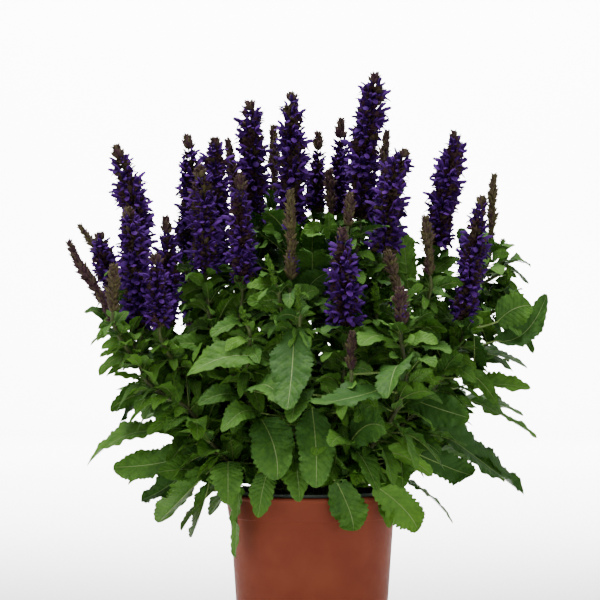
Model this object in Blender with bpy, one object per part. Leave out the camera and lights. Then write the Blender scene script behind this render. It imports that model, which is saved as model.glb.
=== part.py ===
"""Perennial salvia in its pot.

A clump of square leafy stems stands in compost in a thin nursery pot, which stands in a
terracotta-coloured plastic pot. Each stem ends in an upright spike, and most carry side spikes.
Sizes are in millimetres until a mesh is made. The origin is on the floor under the middle of
the pot, +Z is up and +Y points away from the front.

Places of stems, spikes and leaves are read on a survey board: a board ruled in millimetres that
stands upright through the pot's axis and is looked at from one eye point. A reading is
millimetres across and millimetres down the board, and a depth carries it along the sight line.
"""
import math
from typing import NamedTuple

import bmesh
import bpy
import numpy as np
from mathutils.bvhtree import BVHTree

MM = 0.001

# pots and compost
POT_HEIGHT = 150.0
POT_RIM_RADIUS = 85.0
POT_FOOT_RADIUS = 73.0
POT_WALL = 1.8
POT_FLOOR = 3.0
POT_SIDES = 26
BAND_DEPTH = 23.0
BAND_STEP = 1.6
BEAD_HEIGHT = 5.0
BEAD_SWELL = 1.4
FOOT_BEVEL = 1.5
LIP_DROP = 0.5
DRAIN_RADIUS = 4.0
DRAIN_CIRCLE = 44.0
DRAIN_COUNT = 4
DRAIN_SIDES = 6
INNER_GAP = 0.9
INNER_WALL = 1.4
INNER_PROUD = 3.0
SEAT_GAP = 0.3
SOIL_TOP = 142.0
HOLE_DEPTH = 12.0
HOLE_CLEAR = 0.35
FOOT_RISE = 6.0

# the survey board and its eye point
BOARD_AXIS = 312.0
BOARD_RIM = 492.0
EYE = np.array([-12.0, -2700.0, 342.0])
DEPTH_SPREAD = 1.3
UP = np.array([0.0, 0.0, 1.0])
ACROSS = np.array([1.0, 0.0, 0.0])
BACK = np.array([0.0, 1.0, 0.0])

# stems
STEM_WIDTH_LOW = 4.6
STEM_WIDTH_TOP = 3.0
BRANCH_WIDTH = 2.8
STEM_RUNS = 6
BUTT_GAP = 0.3
APPROACH = 12.0
YOUNG_OVERLAP = 2.0
BRANCH_SAG = 0.16

# spikes
WHORL_PITCH = 13.6
BUD_PITCH = 13.4
LOBES = 4
FLOWER_CORE = 0.27
BUD_CORE = 0.34
CORE_TAPER = 0.55
NECK_SHARE = 0.82
VALLEY_SHARE = 1.12
BULGE_START = 0.18
BULGE_SPAN = 0.62
BULGE_DEPTH = 0.22
TIP_CONE_RADIUS = 7.2
TIP_BLUNTNESS = 0.42
CONE_STEEPNESS = 1.7
LOBE_RISE = 3.5
BUD_RISE = 2.5
LOBE_SPREAD = 0.30
UNEVENNESS = 0.16

# leaves
BLADE_THICKNESS = 0.7
STALK_WIDTH = 2.4
KEEL_DEPTH = 1.3
BLADE_RATIO = 0.42
BLADE_FOLD = 0.28
BLADE_ARCH = 0.14
BLADE_WAVE = 0.07
TOOTH_CREST = 1.06
TOOTH_NOTCH = 0.88
LARGE_LEAF = 33.0
ROOT_SINK = 0.4
FREE_ROOT = 4.0
ROOT_SPACING = 5.0
CROWDED_COST = 40.0
DROP_COST = 1.6
CLEARANCE = 0.45

COLOURS = {
    "outer_pot": ("#9c5436", 0.55),
    "inner_pot": ("#4a5048", 0.6),
    "soil": ("#16110c", 0.95),
    "leaf": ("#3f6a22", 0.6),
    "flower": ("#33208a", 0.6),
    "bud": ("#4a2a33", 0.65),
}


class Spike(NamedTuple):
    """A spike: its share of closed buds, width, depth and readings from base to tip."""

    bud_share: float
    width: float
    depth: float
    points: list


class Stem(NamedTuple):
    """A stem: foot in plan, way points (across, down, depth), end spike and side spikes.

    Each side spike has the share of the stem's length at which its branch leaves.
    """

    foot: tuple
    way: list
    spike: str
    sides: list


class YoungTip(NamedTuple):
    """A green young tip: its stem, share of the stem's length, width and points with depth."""

    stem: str
    share: float
    width: float
    points: list


SPIKES = {
    "spike_01": Spike(0.26, 36, -20, [(137, 260), (135, 215), (126, 178), (116, 147)]),
    "spike_02": Spike(0.20, 36, -54, [(140, 328), (135, 270), (128, 210)]),
    "spike_03": Spike(1.0, 14, -64, [(122, 330), (113, 320), (97, 290), (80, 265), (69, 243)]),
    "spike_04": Spike(1.0, 12, 12, [(113, 272), (97, 250), (80, 226)]),
    "spike_05": Spike(0.22, 30, -8, [(112, 290), (104, 262), (100, 236)]),
    "spike_06": Spike(1.0, 15, -84, [(113, 312), (113, 290), (114, 266)]),
    "spike_07": Spike(0.36, 31, -30, [(165, 325), (168, 262), (166, 219)]),
    "spike_08": Spike(0.30, 29, -66, [(160, 326), (158, 290), (155, 257)]),
    "spike_09": Spike(0.24, 30, 26, [(186, 258), (190, 200), (190, 165), (187, 137)]),
    "spike_10": Spike(0.12, 34, 2, [(215, 276), (216, 200), (215, 140)]),
    "spike_11": Spike(1.0, 14, 44, [(237, 218), (232, 170), (228, 141)]),
    "spike_12": Spike(0.24, 35, -38, [(206, 272), (204, 220), (200, 168)]),
    "spike_13": Spike(0.34, 31, -52, [(242, 284), (241, 235), (240, 175)]),
    "spike_14": Spike(0.12, 35, 40, [(254, 220), (252, 150), (250, 104)]),
    "spike_15": Spike(1.0, 15, 66, [(275, 200), (274, 160), (274, 127)]),
    "spike_16": Spike(0.14, 36, 8, [(293, 226), (292, 150), (291, 95)]),
    "spike_17": Spike(1.0, 19, -74, [(290, 280), (291, 240), (290, 192)]),
    "spike_18": Spike(0.50, 27, 48, [(314, 212), (317, 165), (318, 134)]),
    "spike_19": Spike(0.48, 28, 34, [(338, 214), (340, 175), (341, 120)]),
    "spike_20": Spike(0.16, 38, 0, [(360, 218), (366, 135), (371, 102), (376, 75)]),
    "spike_21": Spike(1.0, 14, 46, [(381, 196), (384, 160), (387, 132)]),
    "spike_22": Spike(0.16, 37, -32, [(385, 252), (391, 190), (405, 152)]),
    "spike_23": Spike(0.22, 36, 0, [(437, 247), (445, 190), (454, 151), (454, 133)]),
    "spike_24": Spike(1.0, 15, -42, [(430, 276), (428, 245), (425, 218)]),
    "spike_25": Spike(1.0, 13, 40, [(491, 240), (492, 210), (494, 175)]),
    "spike_26": Spike(0.22, 32, -30, [(465, 320), (467, 290), (475, 245), (482, 198)]),
    "spike_27": Spike(0.34, 36, -92, [(345, 326), (344, 280), (342, 230)]),
    "spike_28": Spike(1.0, 12, -118, [(351, 370), (351, 352), (352, 333)]),
    "spike_29": Spike(1.0, 15, -72, [(398, 292), (393, 272), (388, 253)]),
    "spike_30": Spike(1.0, 21, -104, [(401, 326), (401, 308), (400, 290)]),
    "spike_31": Spike(1.0, 14, -58, [(348, 226), (349, 210), (350, 195)]),
    "spike_32": Spike(0.30, 31, 96, [(196, 330), (190, 290), (186, 248)]),
    "spike_33": Spike(1.0, 14, 112, [(238, 290), (235, 255), (233, 222)]),
    "spike_34": Spike(0.30, 31, 128, [(287, 292), (285, 250), (284, 206)]),
    "spike_35": Spike(1.0, 14, 116, [(334, 286), (335, 255), (336, 226)]),
    "spike_36": Spike(0.30, 31, 112, [(384, 306), (388, 265), (391, 226)]),
    "spike_37": Spike(1.0, 14, 96, [(428, 316), (432, 290), (436, 258)]),
    "spike_38": Spike(1.0, 14, 12, [(331, 216), (330, 192), (329, 171)]),
}

STEMS = {
    "stem_01": Stem((-38, -14), [(245, 478, -34), (205, 435, -52), (187, 408, -58),
                                 (150, 385, -62), (133, 345, -64)],
                    "spike_03", [("spike_06", 0.86), ("spike_02", 0.90)]),
    "stem_02": Stem((-31, 8), [(235, 450, -2), (176, 370, -14), (143, 300, -20)],
                    "spike_01", [("spike_05", 0.74), ("spike_04", 0.84)]),
    "stem_03": Stem((-22, -5), [(240, 430, -18), (190, 376, -28)],
                    "spike_07", [("spike_08", 0.72)]),
    "stem_04": Stem((-18, 20), [(262, 420, 14), (230, 340, 4)],
                    "spike_10", [("spike_09", 0.66), ("spike_11", 0.70)]),
    "stem_05": Stem((-24, -32), [(258, 420, -44), (216, 340, -44)],
                    "spike_12", [("spike_13", 0.62)]),
    "stem_06": Stem((-8, 33), [(288, 420, 38), (262, 310, 44)],
                    "spike_14", [("spike_15", 0.70)]),
    "stem_07": Stem((-5, 8), [(300, 400, 10), (294, 300, 10)],
                    "spike_16", [("spike_18", 0.72)]),
    "stem_08": Stem((-8, -42), [(296, 440, -62), (292, 350, -76)],
                    "spike_17", []),
    "stem_09": Stem((11, 16), [(335, 400, 8), (352, 300, 2)],
                    "spike_20", [("spike_19", 0.66), ("spike_21", 0.70), ("spike_38", 0.62)]),
    "stem_10": Stem((14, -8), [(350, 420, -24), (372, 330, -32)],
                    "spike_22", [("spike_31", 0.66)]),
    "stem_11": Stem((9, -27), [(328, 440, -66), (342, 390, -92)],
                    "spike_27", [("spike_28", 0.55)]),
    "stem_12": Stem((28, 4), [(370, 430, 0), (412, 340, -2)],
                    "spike_23", [("spike_24", 0.70)]),
    "stem_13": Stem((32, 24), [(385, 440, 28), (450, 350, 38)],
                    "spike_25", []),
    "stem_14": Stem((36, -14), [(380, 450, -20), (425, 400, -28), (456, 352, -30)],
                    "spike_26", []),
    "stem_15": Stem((22, -42), [(368, 450, -80), (402, 400, -100), (404, 352, -106)],
                    "spike_30", [("spike_29", 0.72)]),
    "stem_16": Stem((-22, 38), [(250, 430, 66), (204, 360, 94)],
                    "spike_32", [("spike_33", 0.60)]),
    "stem_17": Stem((4, 46), [(312, 430, 84), (292, 350, 122)],
                    "spike_34", [("spike_35", 0.60)]),
    "stem_18": Stem((25, 40), [(362, 430, 76), (382, 350, 108)],
                    "spike_36", [("spike_37", 0.60)]),
}

YOUNG_TIPS = [
    YoungTip("stem_13", 0.86, 9, [(502, 262, 52), (503, 240, 54)]),
    YoungTip("stem_13", 0.74, 9, [(508, 294, 24), (509, 266, 22)]),
    YoungTip("stem_08", 0.80, 9, [(276, 286, -88), (267, 256, -90)]),
    YoungTip("stem_08", 0.72, 8, [(299, 312, -104), (297, 286, -106)]),
    YoungTip("stem_05", 0.50, 8, [(247, 326, -88), (241, 308, -90)]),
    YoungTip("stem_10", 0.78, 9, [(377, 314, -62), (375, 284, -64)]),
]

# each leaf read by eye: shell, seen width, then readings from the blade's base to its tip; shell
# 1 is the front face of the leafy dome and 0 its outline
LEAVES = [
    (0.85, 38, (294, 328), (292, 370), (287, 410)), (0.30, 36, (497, 322), (532, 306)),
    (0.80, 44, (262, 420), (275, 450), (277, 480)), (0.85, 38, (312, 408), (316, 450), (316, 488)),
    (0.95, 34, (349, 444), (385, 428)), (0.60, 36, (335, 478), (350, 512), (353, 531)),
    (0.75, 36, (375, 485), (405, 510), (418, 531)), (0.60, 36, (407, 397), (440, 409), (470, 418)),
    (0.75, 34, (228, 462), (228, 505)), (0.50, 34, (212, 452), (170, 485), (141, 500)),
    (0.70, 30, (273, 362), (187, 376)), (0.90, 30, (295, 460), (300, 502)),
    (0.55, 30, (200, 450), (160, 463), (113, 467)), (0.60, 30, (400, 455), (403, 488)),
    (0.40, 30, (420, 455), (455, 470), (473, 475)), (1.00, 30, (402, 368), (388, 398)),
    (0.45, 28, (300, 300), (329, 273)),
    (0.95, 26, (381, 389), (350, 398), (314, 404)), (0.90, 26, (304, 393), (291, 423)),
    (0.30, 25, (150, 388), (182, 360)), (0.75, 26, (267, 475), (258, 518)),
    (0.15, 26, (495, 341), (525, 332), (547, 312)), (0.25, 24, (425, 420), (490, 468), (524, 495)),
    (0.75, 24, (258, 412), (222, 432)), (0.60, 24, (292, 298), (270, 300), (247, 312)),
    (0.85, 24, (250, 390), (285, 405)), (0.15, 24, (408, 290), (402, 232)),
    (0.40, 22, (163, 398), (168, 430)), (0.45, 22, (405, 335), (434, 312)),
    (0.35, 20, (218, 354), (165, 358)), (0.20, 20, (162, 396), (110, 410)),
    (0.35, 16, (162, 398), (120, 422)), (0.05, 18, (132, 347), (106, 346)),
    (0.15, 14, (140, 362), (106, 377)), (0.10, 8, (112, 327), (98, 312), (84, 312)),
    (0.40, 12, (272, 344), (231, 368)), (0.45, 10, (248, 328), (211, 337)),
    (0.20, 20, (212, 290), (178, 300)), (0.30, 18, (218, 300), (243, 312)),
    (0.45, 14, (250, 400), (198, 405)), (0.50, 8, (290, 297), (247, 287)),
    (0.55, 8, (297, 318), (333, 316)), (0.05, 14, (323, 225), (300, 240)),
    (0.10, 13, (330, 248), (328, 212)), (0.10, 12, (285, 235), (262, 230)),
    (0.60, 14, (400, 345), (361, 332)), (0.75, 10, (400, 350), (361, 346)),
    (0.60, 12, (408, 340), (447, 330)), (0.75, 10, (410, 348), (433, 346), (450, 354)),
    (0.10, 12, (452, 345), (475, 315)), (0.15, 14, (425, 285), (458, 258)),
    (0.25, 12, (420, 300), (455, 272)), (0.35, 18, (466, 385), (495, 384), (531, 388)),
    (0.10, 10, (465, 385), (493, 376)), (0.10, 11, (470, 400), (500, 414), (537, 438)),
    (0.05, 14, (468, 258), (460, 228)), (0.05, 10, (492, 258), (510, 254)),
    (0.40, 16, (488, 345), (465, 318)), (0.30, 14, (475, 375), (474, 335)),
    (0.10, 22, (415, 385), (470, 368)), (0.20, 14, (178, 437), (130, 434), (87, 466)),
    (0.65, 14, (170, 465), (128, 485)), (0.70, 12, (215, 465), (190, 490), (158, 523)),
    (0.80, 12, (209, 480), (203, 505), (192, 537)), (0.70, 16, (240, 485), (235, 558)),
    (0.90, 16, (349, 444), (330, 466)), (0.85, 18, (349, 446), (378, 482)),
    (0.60, 16, (384, 500), (390, 528)), (0.80, 12, (335, 480), (337, 459)),
]

# rings of leaves that close the back and fill the inside of the front: height of base and tip
# over the rim, radius of base and tip, width, count, first and last bearing round from +X
RINGS = [
    (14, -34, 74, 138, 34, 6, 14, 166),
    (34, 18, 92, 186, 34, 7, 2, 178),
    (78, 74, 108, 212, 32, 7, 12, 168),
    (126, 132, 104, 212, 30, 6, 4, 176),
    (176, 196, 92, 186, 26, 6, 18, 162),
    (224, 248, 56, 124, 20, 5, 20, 160),
    (196, 214, 44, 112, 22, 7, 188, 352),
    (238, 262, 30, 86, 18, 5, 200, 340),
    (112, 118, 44, 124, 26, 4, 200, 340),
]
RING_UNEVENNESS = 0.07
RING_TIP_SWAY = 9.0

DOME_HEIGHTS = [-60, -20, 20, 60, 190, 240, 300]
DOME_RADII = [118, 150, 205, 228, 225, 165, 90]
BASE_SHARE = 0.62
TIP_SHARE = 0.92
FRONT_PULL = 0.3
PULL_BELOW = 320.0

# what is tried, in turn, where a piece would touch another
DEPTH_SHIFTS = (0, 6, -6, 12, -12, 20, -20, 30, -30, 42, -42)
TIP_LIFTS = (0, 9, -9, 18)
STEM_SWAYS = (0, 5, -5, 10, -10)
BRANCH_SAGS = (0, 12, -12, 24, -24, 36)
BRANCH_SWAYS = (0, 14, -14, 28, -28)


def unit(vector):
    """The vector at length one."""
    return vector / np.linalg.norm(vector)


def facing(vector, guide):
    """The vector, turned round if it points against the guide."""
    return vector if np.dot(vector, guide) >= 0 else -vector


def on_board(across, down, depth=0.0):
    """The point that is seen at a board reading and lies at a depth behind the board."""
    reading = np.array([across - BOARD_AXIS, 0.0, POT_HEIGHT + BOARD_RIM - down])
    return EYE + (reading - EYE) * (depth - EYE[1]) / -EYE[1]


def shift_along_sight(point, shift):
    """Move a point along its sight line until its depth has grown by the shift."""
    return EYE + (point - EYE) * (point[1] + shift - EYE[1]) / (point[1] - EYE[1])


def along_line(path, count):
    """Evenly spaced points along the straight runs of a path."""
    lengths = np.r_[0, np.cumsum(np.linalg.norm(np.diff(path, axis=0), axis=1))]
    wanted = np.linspace(0, lengths[-1], count)
    return np.stack([np.interp(wanted, lengths, path[:, axis]) for axis in range(3)], axis=1)


def smooth_path(points, count):
    """Evenly spaced points on the Catmull-Rom curve through the given points."""
    points = np.asarray(points, float)
    padded = np.vstack([2 * points[0] - points[1], points, 2 * points[-1] - points[-2]])
    share = np.linspace(0, 1, 13)[:, None]
    runs = []
    for a, b, c, d in zip(padded, padded[1:], padded[2:], padded[3:]):
        runs.append(0.5 * (2 * b + (c - a) * share + (2 * a - 5 * b + 4 * c - d) * share**2
                           + (3 * b - a - 3 * c + d) * share**3))
    return along_line(np.vstack(runs), count)


def curve3(start, control, end, count):
    """Points of the quadratic curve from start to end that bends towards the control."""
    share = np.linspace(0, 1, count)[:, None]
    return (1 - share)**2 * start + 2 * share * (1 - share) * control + share**2 * end


def path_frames(path):
    """Two directions across the path at each of its points."""
    along = np.gradient(path, axis=0)
    side = np.cross(BACK, along)
    side /= np.linalg.norm(side, axis=1)[:, None]
    other = np.cross(along, side)
    return side, other / np.linalg.norm(other, axis=1)[:, None]


def bar_solid(path, radius_low, radius_top, sides=4):
    """A closed bar along a path, with a regular section of the given corner radius."""
    side, other = path_frames(path)
    radius = np.linspace(radius_low, radius_top, len(path))[:, None]
    angles = 2 * math.pi * np.arange(sides) / sides
    rings = np.stack([path + radius * (math.cos(a) * side + math.sin(a) * other)
                      for a in angles], axis=1)
    faces = [(0, corner + 1, corner) for corner in range(1, sides - 1)]
    for ring in range(len(path) - 1):
        for corner in range(sides):
            a = sides * ring + corner
            b = sides * ring + (corner + 1) % sides
            faces += [(a, b, b + sides), (a, b + sides, a + sides)]
    last = sides * (len(path) - 1)
    faces += [(last, last + corner, last + corner + 1) for corner in range(1, sides - 1)]
    return rings.reshape(-1, 3), faces


def turned(profile):
    """A closed solid turned round the axis from a profile that starts and ends on the axis."""
    angles = 2 * math.pi * np.arange(POT_SIDES) / POT_SIDES
    verts = [(0.0, 0.0, profile[0][1])]
    for radius, height in profile[1:-1]:
        verts += [(radius * math.cos(a), radius * math.sin(a), height) for a in angles]
    verts.append((0.0, 0.0, profile[-1][1]))
    last = 1 + (len(profile) - 3) * POT_SIDES
    faces = []
    for step in range(POT_SIDES):
        after = (step + 1) % POT_SIDES
        faces.append((0, 1 + after, 1 + step))
        for row in range(len(profile) - 3):
            a, b = 1 + row * POT_SIDES + step, 1 + row * POT_SIDES + after
            faces += [(a, b, b + POT_SIDES), (a, b + POT_SIDES, a + POT_SIDES)]
        faces.append((last + step, last + after, len(verts) - 1))
    return np.array(verts), faces


def wall_radius(height):
    """Outer radius of the outer pot's tapered wall at a height, below its band."""
    share = height / POT_HEIGHT
    return POT_FOOT_RADIUS + (POT_RIM_RADIUS - BAND_STEP - POT_FOOT_RADIUS) * share


def inner_radius(height):
    """Outer radius of the nursery pot at a height."""
    return wall_radius(height) - POT_WALL - INNER_GAP


def outer_pot_profile():
    """The outer pot's wall, from the middle of its underside up, over and down inside."""
    band = POT_HEIGHT - BAND_DEPTH
    rim = POT_RIM_RADIUS
    return [(0, 0), (POT_FOOT_RADIUS - FOOT_BEVEL, 0), (POT_FOOT_RADIUS, FOOT_BEVEL),
            (wall_radius(band - BAND_STEP), band - BAND_STEP), (wall_radius(band) + BAND_STEP, band),
            (rim, POT_HEIGHT - BEAD_HEIGHT), (rim + BEAD_SWELL, POT_HEIGHT - 0.5 * BEAD_HEIGHT),
            (rim, POT_HEIGHT), (wall_radius(POT_HEIGHT) - POT_WALL, POT_HEIGHT - LIP_DROP),
            (wall_radius(POT_FLOOR) - POT_WALL, POT_FLOOR), (0, POT_FLOOR)]


def inner_pot_profile():
    """The nursery pot inside, which stands a little proud of the outer pot's rim."""
    foot = POT_FLOOR + SEAT_GAP
    floor = foot + INNER_WALL
    top = POT_HEIGHT + INNER_PROUD
    return [(0, foot), (inner_radius(foot), foot), (inner_radius(top), top),
            (inner_radius(top) - INNER_WALL, top), (inner_radius(floor) - INNER_WALL, floor),
            (0, floor)]


def soil_profile():
    """The compost that fills the nursery pot."""
    foot = POT_FLOOR + SEAT_GAP + INNER_WALL + SEAT_GAP
    gap = INNER_WALL + SEAT_GAP
    return [(0, foot), (inner_radius(foot) - gap, foot), (inner_radius(SOIL_TOP) - gap, SOIL_TOP),
            (0, SOIL_TOP)]


def whorl_radius(share, width, bud_share):
    """Half the spike's width at a share of its length: a long bulge, then a cone of buds."""
    open_share = 1.0 - bud_share
    if share < open_share:
        bulge = math.sin(math.pi * (BULGE_START + BULGE_SPAN * share / open_share))
        return 0.5 * width * (1.0 - BULGE_DEPTH + BULGE_DEPTH * bulge)
    cone = min(1.0, CONE_STEEPNESS * (1.0 - share) / bud_share)
    widest = 0.5 * width if bud_share == 1.0 else TIP_CONE_RADIUS
    return widest * (TIP_BLUNTNESS + (1.0 - TIP_BLUNTNESS) * cone)


def star_faces(neck, valleys, outers, above):
    """Triangles between a neck ring and the star ring of a whorl, which shares its turn."""
    faces = []
    count = len(neck)
    for j in range(count):
        after = (j + 1) % count
        rim = [valleys[j], *outers[j], valleys[after]]
        faces += [(neck[j], b, a) for a, b in zip(rim[:-2], rim[1:-1])]
        faces.append((neck[j], neck[after], rim[-2]))
        faces.append((neck[after], rim[-1], rim[-2]))
    if above:
        return [(a, c, b) for a, b, c in faces]
    return faces


def spike_solid(points, width, bud_share):
    """A spike as one surface: whorls of pointed lobes raised round a core.

    Each whorl is a star ring between two narrower neck rings. A flower lobe has a wide
    two-cornered tip and a bud lobe one point. Every other whorl is turned by half a lobe.
    """
    length = np.linalg.norm(np.diff(smooth_path(points, 30), axis=0), axis=1).sum()
    open_whorls = round(length * (1.0 - bud_share) / WHORL_PITCH)
    whorls = open_whorls + max(2, round(length * bud_share / BUD_PITCH))
    axis = smooth_path(points, 2 * whorls + 2)
    side, other = path_frames(axis)
    along = np.cross(side, other)
    core = width * (BUD_CORE if bud_share == 1.0 else FLOWER_CORE)
    lobe = 2 * math.pi / LOBES
    verts = []

    def ring_point(row, angle, radius, rise=0.0):
        """Add a point round the axis and give its number."""
        out = math.cos(angle) * side[row] + math.sin(angle) * other[row]
        verts.append(axis[row] + out * radius + along[row] * rise)
        return len(verts) - 1

    neck = [ring_point(0, lobe * j, core * NECK_SHARE) for j in range(LOBES)]
    faces = [(neck[0], neck[j + 1], neck[j]) for j in range(1, LOBES - 1)]
    for whorl in range(whorls):
        share = (whorl + 0.5) / whorls
        row = 2 * whorl + 1
        here = core * (1.0 - CORE_TAPER * share)
        turn = 0.5 * lobe * (whorl % 2)
        next_turn = turn + lobe * (0.25 if whorl % 2 == 0 else -0.25)
        valleys, outers = [], []
        for j in range(LOBES):
            uneven = 1.0 + UNEVENNESS * math.sin(7.3 * whorl + 2.9 * j)
            reach = uneven * whorl_radius(share, width, bud_share)
            middle = turn + lobe * (j + 0.5)
            valleys.append(ring_point(row, turn + lobe * j, here * VALLEY_SHARE))
            if share < 1.0 - bud_share:
                outers.append([ring_point(row, middle - LOBE_SPREAD, reach, LOBE_RISE - 0.6),
                               ring_point(row, middle + LOBE_SPREAD, reach, LOBE_RISE + 0.6)])
            else:
                outers.append([ring_point(row, middle, reach, BUD_RISE)])
        upper = [ring_point(row + 1, next_turn + lobe * j, here * NECK_SHARE)
                 for j in range(LOBES)]
        faces += star_faces(neck, valleys, outers, False)
        faces += star_faces(upper, valleys, outers, True)
        neck = upper
    tip = len(verts)
    verts.append(axis[-1])
    faces += [(neck[j], neck[(j + 1) % LOBES], tip) for j in range(LOBES)]
    return np.array(verts), faces


def leaf_frame(points, width, by_eye):
    """The rib's points, the direction across the blade, its upper normal and its full width.

    A leaf read by eye is rolled about its chord until it shows the width read. Any other leaf
    lies level across.
    """
    base, tip = points[0], points[-1]
    length = np.linalg.norm(tip - base)
    chord = (tip - base) / length
    centre = 0.5 * (base + tip)
    segments = 3 if width > LARGE_LEAF else 2
    full_width = max(width, BLADE_RATIO * length)
    middle = points[1] if len(points) == 3 else centre + UP * BLADE_ARCH * length
    rib = curve3(base, 2 * middle - centre, tip, segments + 1)
    lean = UP + 0.6 * unit(centre * [1.0, 1.0, 0.0])
    if by_eye:
        view = unit(centre - EYE)
        flat = unit(np.cross(chord, view))
        front = np.cross(flat, chord)
        roll = math.acos(min(1.0, width / full_width))
        ways = [math.cos(turn) * flat + math.sin(turn) * front for turn in (roll, -roll)]
        across = max(ways, key=lambda way: abs(np.dot(np.cross(way, chord), lean)))
    else:
        across = unit(np.cross(UP, chord))
    if np.dot(np.cross(across, chord), lean) < 0:
        across = -across
    return rib, across, np.cross(across, chord), full_width


def blade_reach(share):
    """Half the blade's width at a share of its length, as a share of its greatest."""
    return math.sin(math.pi * (0.20 + 0.72 * share))**0.8


def stalk_corners(root, rib, across, normal, stalk, thick):
    """Corners of the stalk's three-cornered section at its root and, mitred, at the blade."""
    from_root = unit(rib[0] - root)
    mitre = unit(from_root + unit(rib[1] - rib[0]))
    base_across = facing(unit(np.cross(mitre, normal)), across)
    base_up = facing(np.cross(base_across, mitre), normal)
    root_across = facing(unit(np.cross(from_root, base_up)), base_across)
    root_up = facing(np.cross(root_across, from_root), base_up)
    corners = []
    for spot, wide, up in ((root, root_across, root_up), (rib[0], base_across, base_up)):
        corners += [spot - wide * stalk + up * 0.5 * thick, spot + wide * stalk + up * 0.5 * thick,
                    spot - up * KEEL_DEPTH * thick]
    return corners


def blade_solid(root, points, width, by_eye, grow=0.0):
    """A stalked leaf as one thin closed blade, folded along its rib, with a round-toothed edge.

    The top is split into triangles from rib points to edge points, crest and notch in turn, and
    the underside is split alike. Corners 0 to 5 are the stalk's, from its root to the blade.
    """
    rib, across, normal, full_width = leaf_frame(points, width, by_eye)
    segments = len(rib) - 1
    half = 0.5 * full_width
    thick = BLADE_THICKNESS + 2 * grow
    bar = stalk_corners(root, rib, across, normal, 0.5 * STALK_WIDTH + grow, thick)
    top, ribs, lefts, rights = [], [], [], []
    first = len(bar)
    for step in range(2 * segments - 1):
        is_crest = step % 2 == 0
        run = step // 2
        centre = 0.5 * (rib[run] + rib[run + 1]) if is_crest else rib[run + 1]
        tooth = TOOTH_CREST if is_crest else TOOTH_NOTCH
        reach = half * blade_reach((step + 1) / (2 * segments)) * tooth + grow
        wave = BLADE_WAVE * half * (-1)**run if is_crest else 0.0
        lefts.append(first + len(top))
        rights.append(first + len(top) + 1)
        top.append(centre - across * reach + normal * (BLADE_FOLD * reach + wave))
        top.append(centre + across * reach + normal * (BLADE_FOLD * reach - wave))
        if not is_crest:
            ribs.append(first + len(top))
            top.append(centre)
    end = first + len(top)
    top.append(rib[-1])
    for line in (ribs, lefts, rights):
        line.append(end)
    faces = [(lefts[0], 3, ribs[0]), (3, 4, ribs[0]), (4, rights[0], ribs[0])]
    faces += [(ribs[0], lefts[1], lefts[0]), (ribs[0], rights[0], rights[1])]
    for run in range(1, segments):
        low, crest = 2 * run - 1, 2 * run
        near, ahead = ribs[run - 1], ribs[run]
        faces += [(near, lefts[crest], lefts[low]), (near, ahead, lefts[crest])]
        faces += [(near, rights[low], rights[crest]), (near, rights[crest], ahead)]
        if ahead != end:
            faces.append((ahead, lefts[low + 2], lefts[crest]))
            faces.append((ahead, rights[crest], rights[low + 2]))
    top = np.array(top)
    verts = np.vstack([bar, top + 0.5 * thick * normal, top - 0.5 * thick * normal])
    return verts, close_blade(faces, lefts, rights, len(top))


def close_blade(faces, lefts, rights, count):
    """Add the underside, the edges and the stalk to the blade's upper faces."""
    keel_for = {3: 5, 4: 5}
    solid = list(faces)
    for corners in faces:
        a, b, c = (keel_for.get(corner, corner + count) for corner in corners)
        if len({a, b, c}) == 3:
            solid.append((c, b, a))
    for a, b in zip([3, *lefts], lefts):
        solid += [(a, b, b + count), (a, b + count, keel_for.get(a, a + count))]
    for a, b in zip([4, *rights], rights):
        below = keel_for.get(a, a + count)
        solid += [(b, a, below), (b, below, b + count)]
    return solid + [(0, 2, 1), (0, 1, 4), (0, 4, 3), (0, 3, 5), (0, 5, 2), (1, 2, 5), (1, 5, 4)]


class Clearance:
    """What has been placed so far, and whether a new solid would touch it."""

    def __init__(self):
        self.placed = []

    def add(self, solid, owner):
        """Keep a solid as an obstacle."""
        verts, faces = solid
        tree = BVHTree.FromPolygons(verts.tolist(), faces)
        self.placed.append((verts.min(axis=0), verts.max(axis=0), tree, owner))

    def blocked(self, solid, skip="", only=""):
        """Whether the solid's surface crosses that of an obstacle whose owner counts."""
        verts, faces = solid
        low, high = verts.min(axis=0), verts.max(axis=0)
        tree = None
        for other_low, other_high, other, owner in self.placed:
            if owner == skip or (only and owner != only):
                continue
            if (low > other_high).any() or (high < other_low).any():
                continue
            if tree is None:
                tree = BVHTree.FromPolygons(verts.tolist(), faces)
            if tree.overlap(other):
                return True
        return False


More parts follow.
